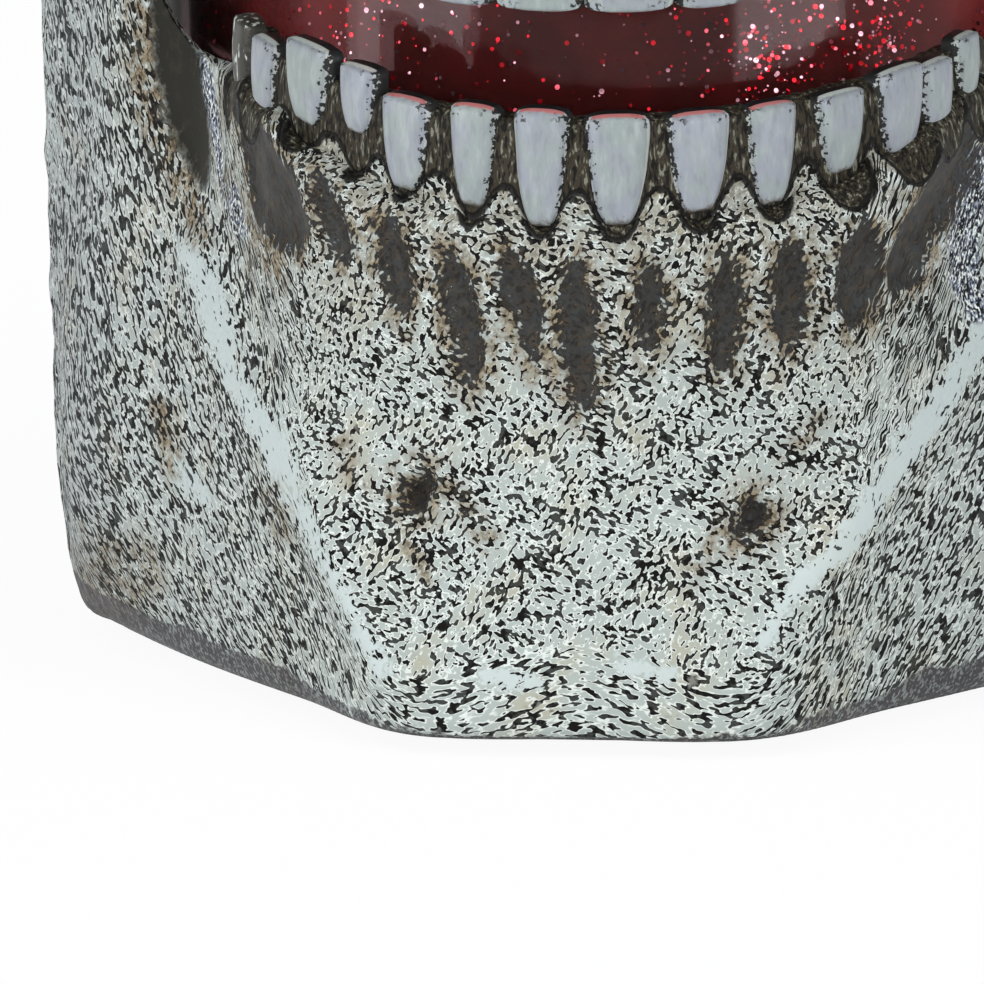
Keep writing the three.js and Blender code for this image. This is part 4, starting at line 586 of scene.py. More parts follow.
def asSeen(places):
    # across and up, as the photograph shows them
    turn, rise = math.radians(seen["turn"]), math.radians(seen["rise"])
    x, y, z = places.T
    back = y - jaw["frontY"]
    across = x * math.cos(turn) + back * math.sin(turn)
    up = (z - jaw["floor"]) * math.cos(rise) + back * math.sin(rise)
    return across, up, outTo(seen["turn"], seen["rise"])


def frontBands(places, normals):
    across, up, toCamera = asSeen(places)
    hidden = 9 * (1 - ease(normals @ toCamera, 0.0, 0.25))
    bands = {"groove": grooveBands, "plain": plainBands, "silver": silverHighlightBands, "olive": oliveBands}
    return {name: bandGap(across, up, lines) + hidden for name, lines in bands.items()}


def jawPoint(shares, side=1):
    return np.array([side * shares[0] * jaw["halfWidth"], jaw["frontY"] + shares[1] * jaw["depth"],
                     shares[2] * jaw["height"]])


def jawSkin():
    right = [[jawPoint(corner) for corner in station] for station in jaw["stations"]]
    left = [[jawPoint(corner, -1) for corner in station] for station in jaw["stations"][:0:-1]]
    rails = throughPoints(left + right, False, np.linspace(0, 1, jaw["along"] + 1))
    skin = throughPoints(rails.transpose(1, 0, 2), True, np.arange(jaw["around"]) / jaw["around"])
    return skin.transpose(1, 0, 2)


def buildJaw():
    skin = jawSkin()
    along, around = skin.shape[:2]
    places = skin.reshape(-1, 3).copy()
    places[:, 2] = np.maximum(places[:, 2], jaw["floor"])
    pieces = [meshPiece("jaw_bone", places, tubeFaces(along, around))]
    for side in (-1, 1):
        for spot, reach in (jaw["condyle"], jaw["coronoid"]):
            deselectAll()
            bpy.ops.mesh.primitive_uv_sphere_add(
                segments=48, ring_count=32, radius=1, location=jawPoint(spot, side) * mm,
                scale=[size * mm for size in reach])
            pieces.append(bpy.context.object)
        for x, y in jaw["bosses"]:
            low, high = jaw["bossLow"], jaw["bossHigh"]
            deselectAll()
            bpy.ops.mesh.primitive_cylinder_add(
                vertices=32, radius=jaw["bossRadius"] * mm, depth=(high - low) * mm,
                location=(side * x * mm, y * mm, (low + high) / 2 * mm))
            pieces.append(bpy.context.object)
    for piece in pieces[1:]:
        settle(piece)
    piece = joinAll(pieces, "jaw_bone")
    editAll(piece, faceOutwards)
    remesh = piece.modifiers.new("even", "REMESH")
    remesh.mode = "VOXEL"
    remesh.voxel_size = jaw["voxel"] * mm
    applyModifiers(piece)
    setPlaces(piece, relaxed(placesOf(piece), edgesOf(piece), 4))

    # each point's place on the skin: lengths along and around, and the corner line it is near
    places = placesOf(piece)
    stepAlong = np.gradient(skin, axis=0)
    lengthAlong = np.cumsum(np.linalg.norm(stepAlong, axis=2), axis=0)
    lengthAlong -= lengthAlong[along // 2]
    stepAround = np.roll(skin, -1, 1) - np.roll(skin, 1, 1)
    lengthAround = np.cumsum(np.linalg.norm(stepAround, axis=2) / 2, axis=1)
    ridgeAt = int(around * 2 / 8)
    lengthAround -= lengthAround[:, ridgeAt:ridgeAt + 1]
    tree = KDTree(along * around)
    for i, point in enumerate(skin.reshape(-1, 3)):
        tree.insert(point, i)
    tree.balance()
    nearest = np.array([tree.find(point)[1] for point in places])
    off = places - skin.reshape(-1, 3)[nearest]

    def forward(steps):
        return steps / np.maximum(np.linalg.norm(steps, axis=2, keepdims=True), 1e-9)
    flowAlong = lengthAlong.ravel()[nearest] + (off * forward(stepAlong).reshape(-1, 3)[nearest]).sum(1)
    flowAround = lengthAround.ravel()[nearest] + (off * forward(stepAround).reshape(-1, 3)[nearest]).sum(1)
    corner = (nearest % around) / around * 8
    station = np.abs(nearest // around / (along - 1) - 0.5) * 14

    x, y, z = places.T
    normals = normalsOf(piece)
    across, up, toCamera = asSeen(places)
    front = ease(normals @ toCamera, 0.02, 0.3)
    bands = frontBands(places, normals)
    sink = jaw["grooveDepth"] * (1 - ease(bands["groove"], -1.4, 0.5))
    sink += jaw["oliveDepth"] * (1 - ease(bands["olive"], -1, 1))
    stain = 0.95 * (1 - ease(bandGap(across, up, ochreBands), -0.8, 1.0)) * front
    for x0, z0, radius, depth in pits:
        away = np.hypot(across - x0, (up - z0) * 0.85) - radius + cloud(places, 1.6, 5) * 0.3
        bands["groove"] = np.minimum(bands["groove"], away + 9 * (1 - front))
        sink = np.maximum(sink, (1 - ease(away, -radius, 0.5)) * front * depth)
        stain = np.maximum(stain, (1 - ease(away, 0, 2.6)) * front)
    lift = (1 - ease(bandGap(across, up, ridgeBands), -0.5, 3)) * front

    # sockets round the necks of the teeth, stained bone between and under them
    gumLine = lowerRow["gum"] + rowRise(lowerRow, y, 0)
    isFace = (corner > 2.9) * (corner < 4.6) * (z > gumLine - 6) * (np.abs(rowShare(lowerRow, x, y)) < 0.9)
    socket = np.where(isFace, socketGap(lowerRow, places), 9)
    sink = sink * ease(socket, -0.5, 0.5) + jaw["socketDepth"] * (1 - ease(socket, -0.9, 0.3))
    stain = np.maximum(stain, 0.5 * isFace * ease(z, gumLine - 4.5, gumLine - 1.5))
    stain = np.maximum(stain, front * ease(up, 30, 50) * 0.28 * (corner > 2.3))

    # rough patches where muscles were held, wide dents, and the dark rim at the bottom, painted shade where
    # the underside turns in
    angle = ease(station, 3.6, 5.2) * (1 - ease(station, 6.3, 7)) * (corner < 2.2)
    rough = cloud(np.stack([flowAlong / 3, flowAround, flowAround * 0], 1), 1.9, 8) * angle * 0.35
    dents = cloud(places, 9, 9) * 0.35 + cloud(places, 3.2, 10) * 0.14
    places += normals * (lift - sink + rough + dents * ease(z, 2, 7))[:, None]
    places[:, 2] = np.maximum(places[:, 2], jaw["floor"])
    setPlaces(piece, places)
    setPlaces(piece, relaxed(placesOf(piece), edgesOf(piece), 1))
    hollow = hollowness(piece, 10, 0.5)
    # painted shade: a dark band low on the jaw's sides, and at the floor a black line of painted shadow
    edgeZ = jaw["rimHeight"] + cloud(places, 6, 11) * 0.7 + jaw["rimRise"] * ease(station, 1.2, 2.4)
    rim = (1 - ease(z, edgeZ - 0.5, edgeZ + 0.5)) * ease(station + cloud(places, 5, 2) * 0.3, 0.2, 2.2)
    rim = np.clip(rim, 0, 1) + 1 - ease(z, jaw["floor"] + 0.25, jaw["floor"] + 0.75)
    stain = np.maximum(stain, np.clip(hollow, 0, 1) * 0.5)
    spotX, spotZ = jaw["stainSpot"]
    spot = 1 - ease(np.hypot(across - spotX, up - spotZ) + cloud(places, 4, 15) * 2, 3, 7)
    stain = np.maximum(stain, spot * (corner < 2.5) * 0.7)
    side = 1 - ease(corner, 1.85, 2.5)
    side = np.maximum(side, ease(corner, 7.6, 8))
    side = np.maximum(side, 0.62 * ease(np.abs(across), 22, 30))
    crowd = 0.82 + 0.2 * cloud(places, 8, 12) + 0.16 * cloud(places, 3, 16) + 0.1 * side
    crowd -= 0.4 * (1 - ease(up, 3, 12)) * (1 - ease(station, 0.8, 1.6))
    crowd -= 0.4 * ease(cloud(places, 5, 13), 0.35, 0.8)
    # cool: a grey-blue tint on the side planes, deepened towards the left outline as painted shade where the
    # side turns from the light
    cool = side * ease(station, 1.4, 3.2) * (0.3 + 0.55 * (1 - ease(across, -51, -45)))
    flow = np.stack([flowAlong, flowAround, flowAround * 0], 1)
    addMarks(piece, {
        **bands, "flow": flow, "flowing": side, "socket": socket, "stain": np.clip(stain, 0, 1),
        "rim": rim, "cool": cool, "crowd": np.clip(crowd, 0, 1.15)})
    smoothShade(piece)
    finishPiece(piece, "root", [jawBone], ["lower_jaw"])
    return piece


# Head: masses run into one another, as the frame's own head is made, in shares of its sizes

headForm = {
    "halfWidth": 80, "halfDepth": 100, "height": 270, "wall": 4, "step": 1.3,
    "braincase": [(0, 0.2, 0.696, 0.985, 0.79, 0.3), (0, -0.31, 0.719, 0.79, 0.62, 0.237),
                  (0, 0.55, 0.563, 0.675, 0.415, 0.141), (0, 0.1, 0.474, 0.725, 0.6, 0.096)],
    "temple": (1, -0.42, 0.622, 0.325, 0.3, 0.126),
    "masses": [(0.6, -0.7, 0.485, 0.175, 0.12, 0.044), (0.34, -0.78, 0.459, 0.275, 0.17, 0.074),
               (0, -0.84, 0.393, 0.275, 0.13, 0.059), (0.71, 0.2, 0.437, 0.14, 0.14, 0.074),
               (0.775, -0.08, 0.496, 0.14, 0.14, 0.033)],
    "bars": [((0.1, -0.91, 0.656, 0.094), (0.575, -0.74, 0.637, 0.075)),
             ((0.61, -0.72, 0.637, 0.075), (0.64, -0.68, 0.519, 0.075)),
             ((0.675, -0.66, 0.485, 0.072), (0.9, -0.38, 0.493, 0.072)),
             ((0.9, -0.38, 0.493, 0.072), (0.86, -0.04, 0.511, 0.066)),
             ((0, -0.84, 0.622, 0.075), (0, -0.93, 0.544, 0.07)),
             ((0.11, -0.85, 0.611, 0.075), (0.24, -0.82, 0.463, 0.075))],
    "nose": [(0.075, -0.96, 0.422, 0.1, 0.34, 0.035), (0, -0.96, 0.474, 0.081, 0.34, 0.048)],
    "orbit": {"x": 27, "z": 153.5, "wide": 17.52, "tall": 15.5, "corner": 11, "tilt": 0.2,
              "taper": 0.12, "rimY": -92, "floorY": -48},
    "splitY": 12, "gap": 0.3, "globeY": -10, "globeRadius": 55, "drumY": 6, "drumRadius": 54.4,
    "alveolusTop": 112, "alveolusEnd": -47, "alveolusOuter": 1.6, "alveolusInner": 9.5,
    "posts": [(167.4, 5), (216, 5)], "headSeat": 15.9, "postLength": 12, "screwHole": 3.2,
    "domeZ": 168, "neckTop": 126, "flangeTop": 116.4, "flangeWidth": 2.5, "condyleGap": 0.4,
    # how widely the masses run into one another
    "join": {"brain": 22, "temple": 12, "face": 8, "hollow": 4, "wall": 3, "alveolus": 9},
}


def smoothJoin(a, b, reach):
    share = np.clip(0.5 + 0.5 * (b - a) / reach, 0, 1)
    return b + (a - b) * share - reach * share * (1 - share)


def smoothCut(a, b, reach):
    return -smoothJoin(-a, b, reach)


def joined(fields, reach):
    whole = fields[0]
    for field in fields[1:]:
        whole = smoothJoin(whole, field, reach)
    return whole


def eggField(x, y, z, egg):
    sizes = (headForm["halfWidth"], headForm["halfDepth"], headForm["height"])
    px, py, pz = (place - share * size for place, share, size in zip((x, y, z), egg, sizes))
    ax, ay, az = (share * size for share, size in zip(egg[3:], sizes))
    near = np.sqrt((px / ax) ** 2 + (py / ay) ** 2 + (pz / az) ** 2)
    slope = np.sqrt((px / ax ** 2) ** 2 + (py / ay ** 2) ** 2 + (pz / az ** 2) ** 2) + 1e-6
    return near * (near - 1) / slope


def barField(x, y, z, start, end):
    size = np.array([headForm["halfWidth"], headForm["halfDepth"], headForm["height"]])
    low, run = np.array(start[:3]) * size, (np.array(end[:3]) - np.array(start[:3])) * size
    along = (x - low[0]) * run[0] + (y - low[1]) * run[1] + (z - low[2]) * run[2]
    share = np.clip(along / (run @ run), 0, 1)
    gap = np.sqrt((x - low[0] - share * run[0]) ** 2 + (y - low[1] - share * run[1]) ** 2
                  + (z - low[2] - share * run[2]) ** 2)
    return gap - (start[3] + share * (end[3] - start[3])) * headForm["halfWidth"]


def braincaseField(x, y, z):
    side = np.abs(x)
    eggs = [eggField(side, y, z, egg) for egg in headForm["braincase"]]
    whole = joined(eggs, headForm["join"]["brain"])
    return smoothCut(whole, eggField(side, y, z, headForm["temple"]), headForm["join"]["temple"])


def alveolusField(x, y, z):
    # the band that holds the upper teeth, with a swelling over each root and a scalloped edge
    form, row = headForm, upperRow
    centreY = row["frontY"] + row["reachY"]
    outward = (np.hypot(x / row["reachX"], (y - centreY) / row["reachY"]) - 1) * row["reachX"]
    share = rowShare(row, x, y)
    over = underTeeth(row, share, 0.5)
    swelling = 1.1 * (over - 0.5) * ease(z, 88, 91) * (1 - ease(z, 97, 108))
    edge = row["gum"] + rowRise(row, y, 0) - 2.6 + 3.0 * over
    band = np.maximum(outward - form["alveolusOuter"] - swelling, -form["alveolusInner"] - outward)
    band = np.maximum.reduce([band, edge - z, z - form["alveolusTop"]])
    return smoothCut(band, form["alveolusEnd"] - y, form["join"]["alveolus"])


def orbitField(side, y, z):
    orbit = headForm["orbit"]
    cos, sin = math.cos(orbit["tilt"]), math.sin(orbit["tilt"])
    offX, offZ = side - orbit["x"], z - orbit["z"]
    overX = np.maximum(np.abs(offX * cos - offZ * sin) - orbit["wide"] + orbit["corner"], 0)
    overZ = np.maximum(np.abs(offX * sin + offZ * cos) - orbit["tall"] + orbit["corner"], 0)
    narrowing = orbit["taper"] * (y - orbit["rimY"])
    return np.maximum(np.hypot(overX, overZ) - orbit["corner"] + narrowing, y - orbit["floorY"])


def headField(x, y, z):
    side = np.abs(x)
    near, hollow = headForm["join"]["face"], headForm["join"]["hollow"]
    masses = [eggField(side, y, z, egg) for egg in headForm["masses"]]
    bars = [barField(side, y, z, start, end) for start, end in headForm["bars"]]
    face = joined([*masses, *bars, alveolusField(side, y, z)], near)
    whole = smoothJoin(braincaseField(x, y, z), face, near)
    whole = smoothCut(whole, orbitField(side, y, z), hollow)
    nose = np.minimum(*(eggField(side, y, z, egg) for egg in headForm["nose"]))
    return smoothCut(whole, nose, hollow)


def postPlace(z):
    low, high = 0.0, 100.0
    for _ in range(20):
        middle = (low + high) / 2
        inside = headField(*(np.array([value]) for value in (middle, headForm["splitY"], z)))[0] < 0
        low, high = (middle, high) if inside else (low, middle)
    return low - headForm["wall"] - 3


def shellField(x, y, z, isFront):
    form = headForm
    skin = headField(x, y, z)
    room = braincaseField(x, y, z) + form["wall"]
    fromGlobe = np.hypot(x, y - form["globeY"])
    dome = np.sqrt(fromGlobe ** 2 + np.maximum(z - form["domeZ"], 0) ** 2) - form["globeRadius"]
    room = np.minimum(room, dome)
    fromDrum = np.hypot(x, y - form["drumY"]) - form["drumRadius"]
    neck = np.maximum(fromDrum, z - form["neckTop"])
    flange = np.maximum(fromDrum - form["flangeWidth"], z - form["flangeTop"])
    room = np.minimum.reduce([room, neck, flange])
    spot, reach = jaw["condyle"]
    place = jawPoint(spot)
    px, py, pz = (np.abs(x) - place[0], y - place[1], z - place[2])
    near = np.sqrt((px / reach[0]) ** 2 + (py / reach[1]) ** 2 + (pz / reach[2]) ** 2)
    room = np.minimum(room, (near - 1) * reach[1] - form["condyleGap"])
    shell = smoothCut(skin, room, form["join"]["wall"])
    toSplit = y - form["splitY"] + form["gap"] / 2 if isFront else form["splitY"] + form["gap"] / 2 - y
    for postZ, radius in form["posts"]:
        fromPost = np.hypot(np.abs(x) - postPlaces[postZ], z - postZ)
        post = np.maximum(fromPost - radius, skin)
        if isFront:
            post = np.maximum(post, form["splitY"] - form["postLength"] - y)
            shell = np.minimum(shell, post)
        else:
            hole = np.maximum(fromPost - form["screwHole"], form["headSeat"] - y)
            shell = np.maximum(np.minimum(shell, post), -hole)
    return np.maximum(shell, toSplit)


def skinOf(field, low, high, step):
    # a skin of squares over the field's zero, one point for each cell that it passes through
    xs, ys, zs = (np.arange(a, b, step) for a, b in zip(low, high))
    values = np.empty((len(xs), len(ys), len(zs)), np.float32)
    gridY, gridZ = np.meshgrid(ys, zs, indexing="ij")
    for i, x in enumerate(xs):
        values[i] = field(np.full_like(gridY, x), gridY, gridZ)
    inside = values < 0

    def corner(grid, shift):
        return grid[tuple(slice(s, grid.shape[axis] - 1 + s) for axis, s in enumerate(shift))]
    steps = [(a, b, c) for a in (0, 1) for b in (0, 1) for c in (0, 1)]
    count = sum(corner(inside, s).astype(np.int8) for s in steps)
    active = (count > 0) & (count < 8)
    cell = np.argwhere(active)
    total, crossings = np.zeros((len(cell), 3)), np.zeros(len(cell))
    for start in steps:
        for axis in range(3):
            if start[axis]:
                continue
            end = tuple(s + (i == axis) for i, s in enumerate(start))
            first, second = corner(values, start)[active], corner(values, end)[active]
            isCross = (first < 0) != (second < 0)
            share = first[isCross] / (first[isCross] - second[isCross])
            spot = np.tile(np.array(start, float), (isCross.sum(), 1))
            spot[:, axis] += share
            total[isCross] += spot
            crossings[isCross] += 1
    places = (cell + total / crossings[:, None]) * step + np.array([xs[0], ys[0], zs[0]])
    order = np.full(active.shape, -1)
    order[active] = np.arange(len(cell))
    faces = []
    for axis in range(3):
        one = [slice(None)] * 3
        two = [slice(None)] * 3
        one[axis], two[axis] = slice(0, -1), slice(1, None)
        isCross = inside[tuple(one)] != inside[tuple(two)]
        spots = np.argwhere(isCross)
        u, v = (axis + 1) % 3, (axis + 2) % 3
        keep = ((spots[:, u] > 0) & (spots[:, v] > 0)
                & (spots[:, u] < active.shape[u]) & (spots[:, v] < active.shape[v]))
        spots = spots[keep]
        isOut = inside[tuple(one)][tuple(spots.T)]
        quad = []
        for du, dv in ((1, 1), (0, 1), (0, 0), (1, 0)):
            near = spots.copy()
            near[:, u] -= du
            near[:, v] -= dv
            quad.append(order[tuple(near.T)])
        quad = np.stack(quad, 1)
        quad[~isOut] = quad[~isOut][:, ::-1]
        faces.append(quad)
    faces = np.concatenate(faces)
    faces = faces[(faces >= 0).all(1)]
    for _ in range(2):
        value = field(*places.T)
        slope = np.stack([field(*(places + shift).T) - field(*(places - shift).T)
                          for shift in np.eye(3) * 0.2], 1) / 0.4
        push = value / np.maximum((slope ** 2).sum(1), 0.25)
        places -= np.clip(push, -0.6, 0.6)[:, None] * slope
    return places, faces


def sutureLines(places):
    # distance from the nearest seam of the skull's own plates, in millimetres
    x, y, z = places.T
    coronal = (y + 26 + 0.16 * (z - 200)) + 400 * (z < 165)
    sagittal = np.where((y > -22) & (z > 185), x, 400)
    lambdoid = (z - 208) + 1.05 * np.abs(x) + 400 * (y < 45) + 400 * (z < 150)
    arch = np.hypot((y - 10) / 1.35, z - 150) - 38 + 400 * ((np.abs(x) < 60) | (z < 158))
    nasal = np.where((z > 152) & (z < 168) & (y < -80) & (np.abs(x) < 9), z - 163, 400)
    lines = np.stack([coronal, sagittal, lambdoid, arch, nasal], 1)
    best = np.abs(lines).argmin(1)
    return np.clip(lines[np.arange(len(lines)), best], -12, 12)


def buildHead():
    names = {"face_bone": (True, "face_shell"), "back_bone": (False, "back_shell")}
    form = headForm
    for name, (isFront, node) in names.items():
        lowY, highY = (-104, form["splitY"] + 4) if isFront else (form["splitY"] - 4, 106)
        places, faces = skinOf(lambda x, y, z: shellField(x, y, z, isFront),
                               (-84, lowY, 82), (84, highY, 274), form["step"])
        piece = meshPiece(name, places, faces.tolist())
        outer = headField(*places.T) > -1.2
        x, y, z = places.T
        normals = normalsOf(piece)
        calm = ease(np.abs(y - form["splitY"]), 0.5, 3)
        dents = cloud(places, 14, 21) * 0.5 + cloud(places, 5, 22) * 0.22 + cloud(places, 2.4, 23) * 0.12
        crest = 0.9 * (1 - ease(np.abs(np.hypot((y + 8) / 1.25, z - 150) - 62), 0, 5)) * (np.abs(x) > 40)
        chips = -1.3 * ease(cloud(places, 6, 24), 0.62, 0.9) * outer
        places += normals * ((dents + crest + chips) * outer * calm)[:, None]
        setPlaces(piece, places)
        line = sutureLines(places)
        hollow = hollowness(piece, 14, 0.9)
        deep = ease(-headField(*places.T), 1.5, 5)
        orbitDeep = 1 - ease(orbitField(np.abs(x), y, z), 0.5, 4)
        noseDeep = (np.abs(x) < 16) * (z > 98) * (z < 148) * (y > -90) * (y < -55)
        # rim: painted shade on the surfaces that face downwards, low on the head
        rim = ease(-normals[:, 2], 0.55, 0.85) * (z < 128) * (y > -40)
        groove = np.clip(np.maximum(hollow - 0.35, 0) * 1.2, 0, 0.9)
        groove = np.maximum(groove, orbitDeep * 0.55 * ease(y, -84, -66))
        groove = np.maximum(groove, noseDeep * 0.6)
        row = upperRow
        edge = row["gum"] + rowRise(row, y, 0)
        nearTeeth = (y < form["alveolusEnd"]) * (z < 112)
        stain = np.clip(hollow, 0, 1) * 0.8 + 0.9 * nearTeeth * (1 - ease(z, edge, edge + 7))
        stain += 0.5 * orbitDeep + 0.7 * (1 - ease(np.abs(line), 0.5, 5)) * outer
        stain += 0.35 * ease(cloud(places, 18, 25), 0.2, 0.7)
        seam = 1 - ease(np.abs(y - form["splitY"]), 0.3, 1.5)
        bright = ease(-hollow, 0.25, 0.8) * 0.7 * (1 - seam)
        groove = np.maximum(groove, 0.56 * seam)
        crowd = 0.62 + 0.3 * cloud(places, 16, 26) - 0.6 * bright + 0.2 * (z < 170) * (y < 0)
        addMarks(piece, {
            "flow": places, "flowing": 0, "silver": 9, "olive": 9, "rim": rim,
            "groove": (0.5 - np.maximum(groove, deep * 0.5)) * 4, "plain": (0.5 - bright) * 4,
            "socket": np.where(nearTeeth, socketGap(row, places), 9), "stain": np.clip(stain, 0, 1),
            "cool": np.clip(0.3 + 0.4 * cloud(places, 30, 27), 0, 1), "crowd": np.clip(crowd, 0.1, 1.0),
            "suture": np.where(outer, line, 12)})
        smoothShade(piece)
        finishPiece(piece, "root", [headBone], [node])
        print(name, "built:", len(faces), "faces")


postPlaces = {z: postPlace(z) for z, radius in headForm["posts"]}
jawBone = boneFinish("jaw bone")
headBone = boneFinish("head bone", suture=True)
buildJaw()
print("jaw built")
buildHead()


# Teeth: smooth enamel shields on a bar of dark streaked bone, with painted highlight on their edges and a
# painted red reflection on the tips of the middle ones

# rim is the colour of a painted red reflection, and tip also colours painted highlight on the crowns' edges
toothLook = {
    "enamel": (0.32, 0.37, 0.36), "lilac": (0.33, 0.352, 0.40), "line": (0.008, 0.008, 0.008),
    "neck": (0.12, 0.09, 0.055), "rim": (0.62, 0.17, 0.16), "tip": (0.62, 0.66, 0.61),
    "dull": (0.03, 0.028, 0.02), "shine": (0.43, 0.475, 0.465), "shade": (0.235, 0.255, 0.27),
}
crownForm = {
    "width": [(0, 0.16), (0.02, 0.34), (0.07, 0.5), (0.16, 0.65), (0.3, 0.78), (0.5, 0.9), (0.75, 0.98),
              (0.9, 1.0), (0.965, 0.98), (0.99, 0.93), (1, 0.86)],
    "across": 26, "up": 40, "dome": 0.9, "roll": 1.1, "thickness": 2.0, "proud": 0.9,
    "backFrom": 1.5,   # how far back the crown's hind side starts, before it is bent to the row
}
barForm = {"along": 420, "around": 64, "inset": 2.3, "half": 1.95, "squareness": 0.35, "underTip": 1.3}


def enamelFinish():
    look = toothLook
    f = Finish("tooth enamel")
    place = f.place()
    across, up, lot = f.parts(f.attribute("crown", True))
    speck = f.grain(place, 0.55 * mm, 2, 0.6)
    wide = f.grain(place, 3.5 * mm, 2, 0.5)
    streak = f.grain(f.stretched(place, (1, 1, 0.3)), 0.8 * mm, 2, 0.6)
    neck = 1 - f.ease(up + (speck - 0.5) * 0.25, 0.03, 0.12)
    line = f.ease(across + (wide - 0.5) * 0.1, 0.93, 0.965)
    ragged = f.ease(speck * 0.9 - across * 1.0, 1.29, 1.35)
    foot = 1 - f.ease(up + (speck - 0.5) * 0.16, 0.0, 0.03)
    chips = f.ease(up + (speck - 0.5) * 0.06, 0.9, 0.93) * f.ease(speck, 0.55, 0.6)
    chips = chips * f.ease(f.size(across), 0.3, 0.6)
    isTop = f.ease(f.attribute("crownTop"), 0.03, 0.12)
    dark = f.most(f.most(line, ragged), f.most(foot, chips * 0.9))
    # edge: painted highlight, pale along the sides of each crown
    edge = f.ease(f.size(across) + (speck - 0.5) * 0.06, 0.84, 0.88) * (1 - dark)
    colour = f.coats(look["enamel"], look, [
        (f.ease(wide + lot * 0.2, 0.42, 0.72), "lilac"), (f.ease(streak, 0.5, 0.68) * 0.55, "shine"),
        (f.ease(1 - streak, 0.52, 0.68) * 0.45, "shade"), (neck * 0.8, "neck"), (dark, "line"),
        (edge * 0.6, "tip")])
    # rim: painted reflection of the globe's red light along the tips of the middle teeth, and a pale painted
    # highlight there on the others
    rim = f.ease(up + (speck - 0.5) * 0.02, 0.982, 0.989) * (1 - f.ease(f.size(across), 0.8, 0.92))
    rimReflection = f.blend(f.attribute("crownRedReflection"), look["tip"], look["rim"])
    colour = f.blend(rim * (1 - isTop) * 0.85, colour, rimReflection)
    colour = f.blend(isTop, colour, look["line"])
    worn = f.blend(f.ease(streak, 0.57, 0.62), look["dull"], look["tip"])
    colour = f.blend(f.ease(lot + (speck - 0.5) * 0.4, 1.3, 1.5), colour, worn)
    return f.surface({
        "Base Color": colour, "Roughness": 0.42 + dark * 0.3, "Coat Weight": 0.12,
        "Coat Roughness": 0.25, "Normal": f.bump(wide * 0.5 + speck * 0.12 - dark * 0.5, 0.22, 0.6)})


def crownShape():
    # one crown, one unit wide and high, its front towards -Y; copies of it are bent to the row
    form = crownForm
    deselectAll()
    bpy.ops.mesh.primitive_grid_add(x_subdivisions=form["across"], y_subdivisions=form["up"], size=2)
    piece = bpy.context.object
    settle(piece)
    flat = placesOf(piece) * mm
    across, up = flat[:, 0], (flat[:, 1] + 1) / 2
    shares, widths = zip(*form["width"])
    half = np.interp(up, shares, widths)
    ends = np.maximum(1 - up * 9, up * 18 - 17) ** 3 * (np.abs(up - 0.5) > 0.38)
    edge = np.maximum(np.abs(across) ** 6, ends)
    marks = np.stack([across, up, np.clip(edge, 0, 1)], 1)
    tip = 1 - 0.035 * np.abs(across) ** 3 * (up > 0.9)
    shape = np.stack([across * half / 2, np.clip(edge, 0, 1), up * tip], 1)
    setPlaces(piece, shape / mm)
    addMark(piece, "crown", marks)
    backwards = {"value": (0, 2 * form["backFrom"], 0)}
    editAll(piece, lambda: bpy.ops.mesh.extrude_region_move(TRANSFORM_OT_translate=backwards), faceOutwards)
    addMark(piece, "crownTop", placesOf(piece)[:, 1] * mm > form["backFrom"])
    return piece


def buildCrowns(row, name, node, shape):
    form = crownForm
    crowns = []
    unit = placesOf(shape) * mm
    across, depth, up = unit.T
    isBack = depth > form["backFrom"]
    way = 1 if row["tip"] > row["gum"] else -1
    centreY = row["frontY"] + row["reachY"]
    for number, (share, width, tipUp, neckUp, under) in enumerate(row["teeth"]):
        crown = shape.copy()
        crown.data = shape.data.copy()
        bpy.context.scene.collection.objects.link(crown)
        wide = width * row["reachX"] + 0.15
        angle = share * math.pi / 2
        middle = np.array([row["reachX"] * math.sin(angle), centreY - row["reachY"] * math.cos(angle)])
        out = np.array([math.sin(angle) / row["reachX"], -math.cos(angle) / row["reachY"]])
        out /= np.linalg.norm(out)
        tangent = np.array([-out[1], out[0]])
        curve = np.where(isBack, 0, form["roll"] * np.clip(depth, 0, 1))
        bulge = form["dome"] * (1 - (2 * across) ** 2) * np.sin(np.clip(up, 0, 1) * math.pi * 0.8 + 0.3)
        proud = np.where(isBack, -form["thickness"], form["proud"] - 0.75 - curve + bulge * 0.8)
        lean = -0.25 * (1 - up) * np.where(isBack, 0.3, 1)
        place = middle + np.outer(across * wide, tangent) + np.outer(proud + lean, out)
        low, high = row["gum"] + way * neckUp, row["tip"] + way * (tipUp - form["thickness"] / 8)
        z = low + up * (high - low) + rowRise(row, place[:, 1], np.clip(up, 0, 1))
        setPlaces(crown, np.column_stack([place, z]))
        outerSide = 1 if share > 0 else -1
        marks = np.zeros(len(unit) * 3, np.float32)
        crown.data.attributes["crown"].data.foreach_get("vector", marks)
        marks = marks.reshape(-1, 3)
        marks[:, 0] *= outerSide
        marks[:, 2] = (number * 0.618) % 1 + 2 * (way > 0 and number == 0)
        crown.data.attributes["crown"].data.foreach_set("vector", marks.ravel())
        # share of painted red reflection against pale painted highlight on each crown's tip, red on the
        # middle teeth
        addMarks(crown, {"crownRedReflection": ease(0.5 - abs(share), 0.06, 0.2)})
        if way < 0:
            crown.data.flip_normals()
        smoothShade(crown, 50)
        crowns.append(crown)
    teeth = joinAll(crowns, name + "_crowns")
    finishPiece(teeth, "root", [enamel], [node])


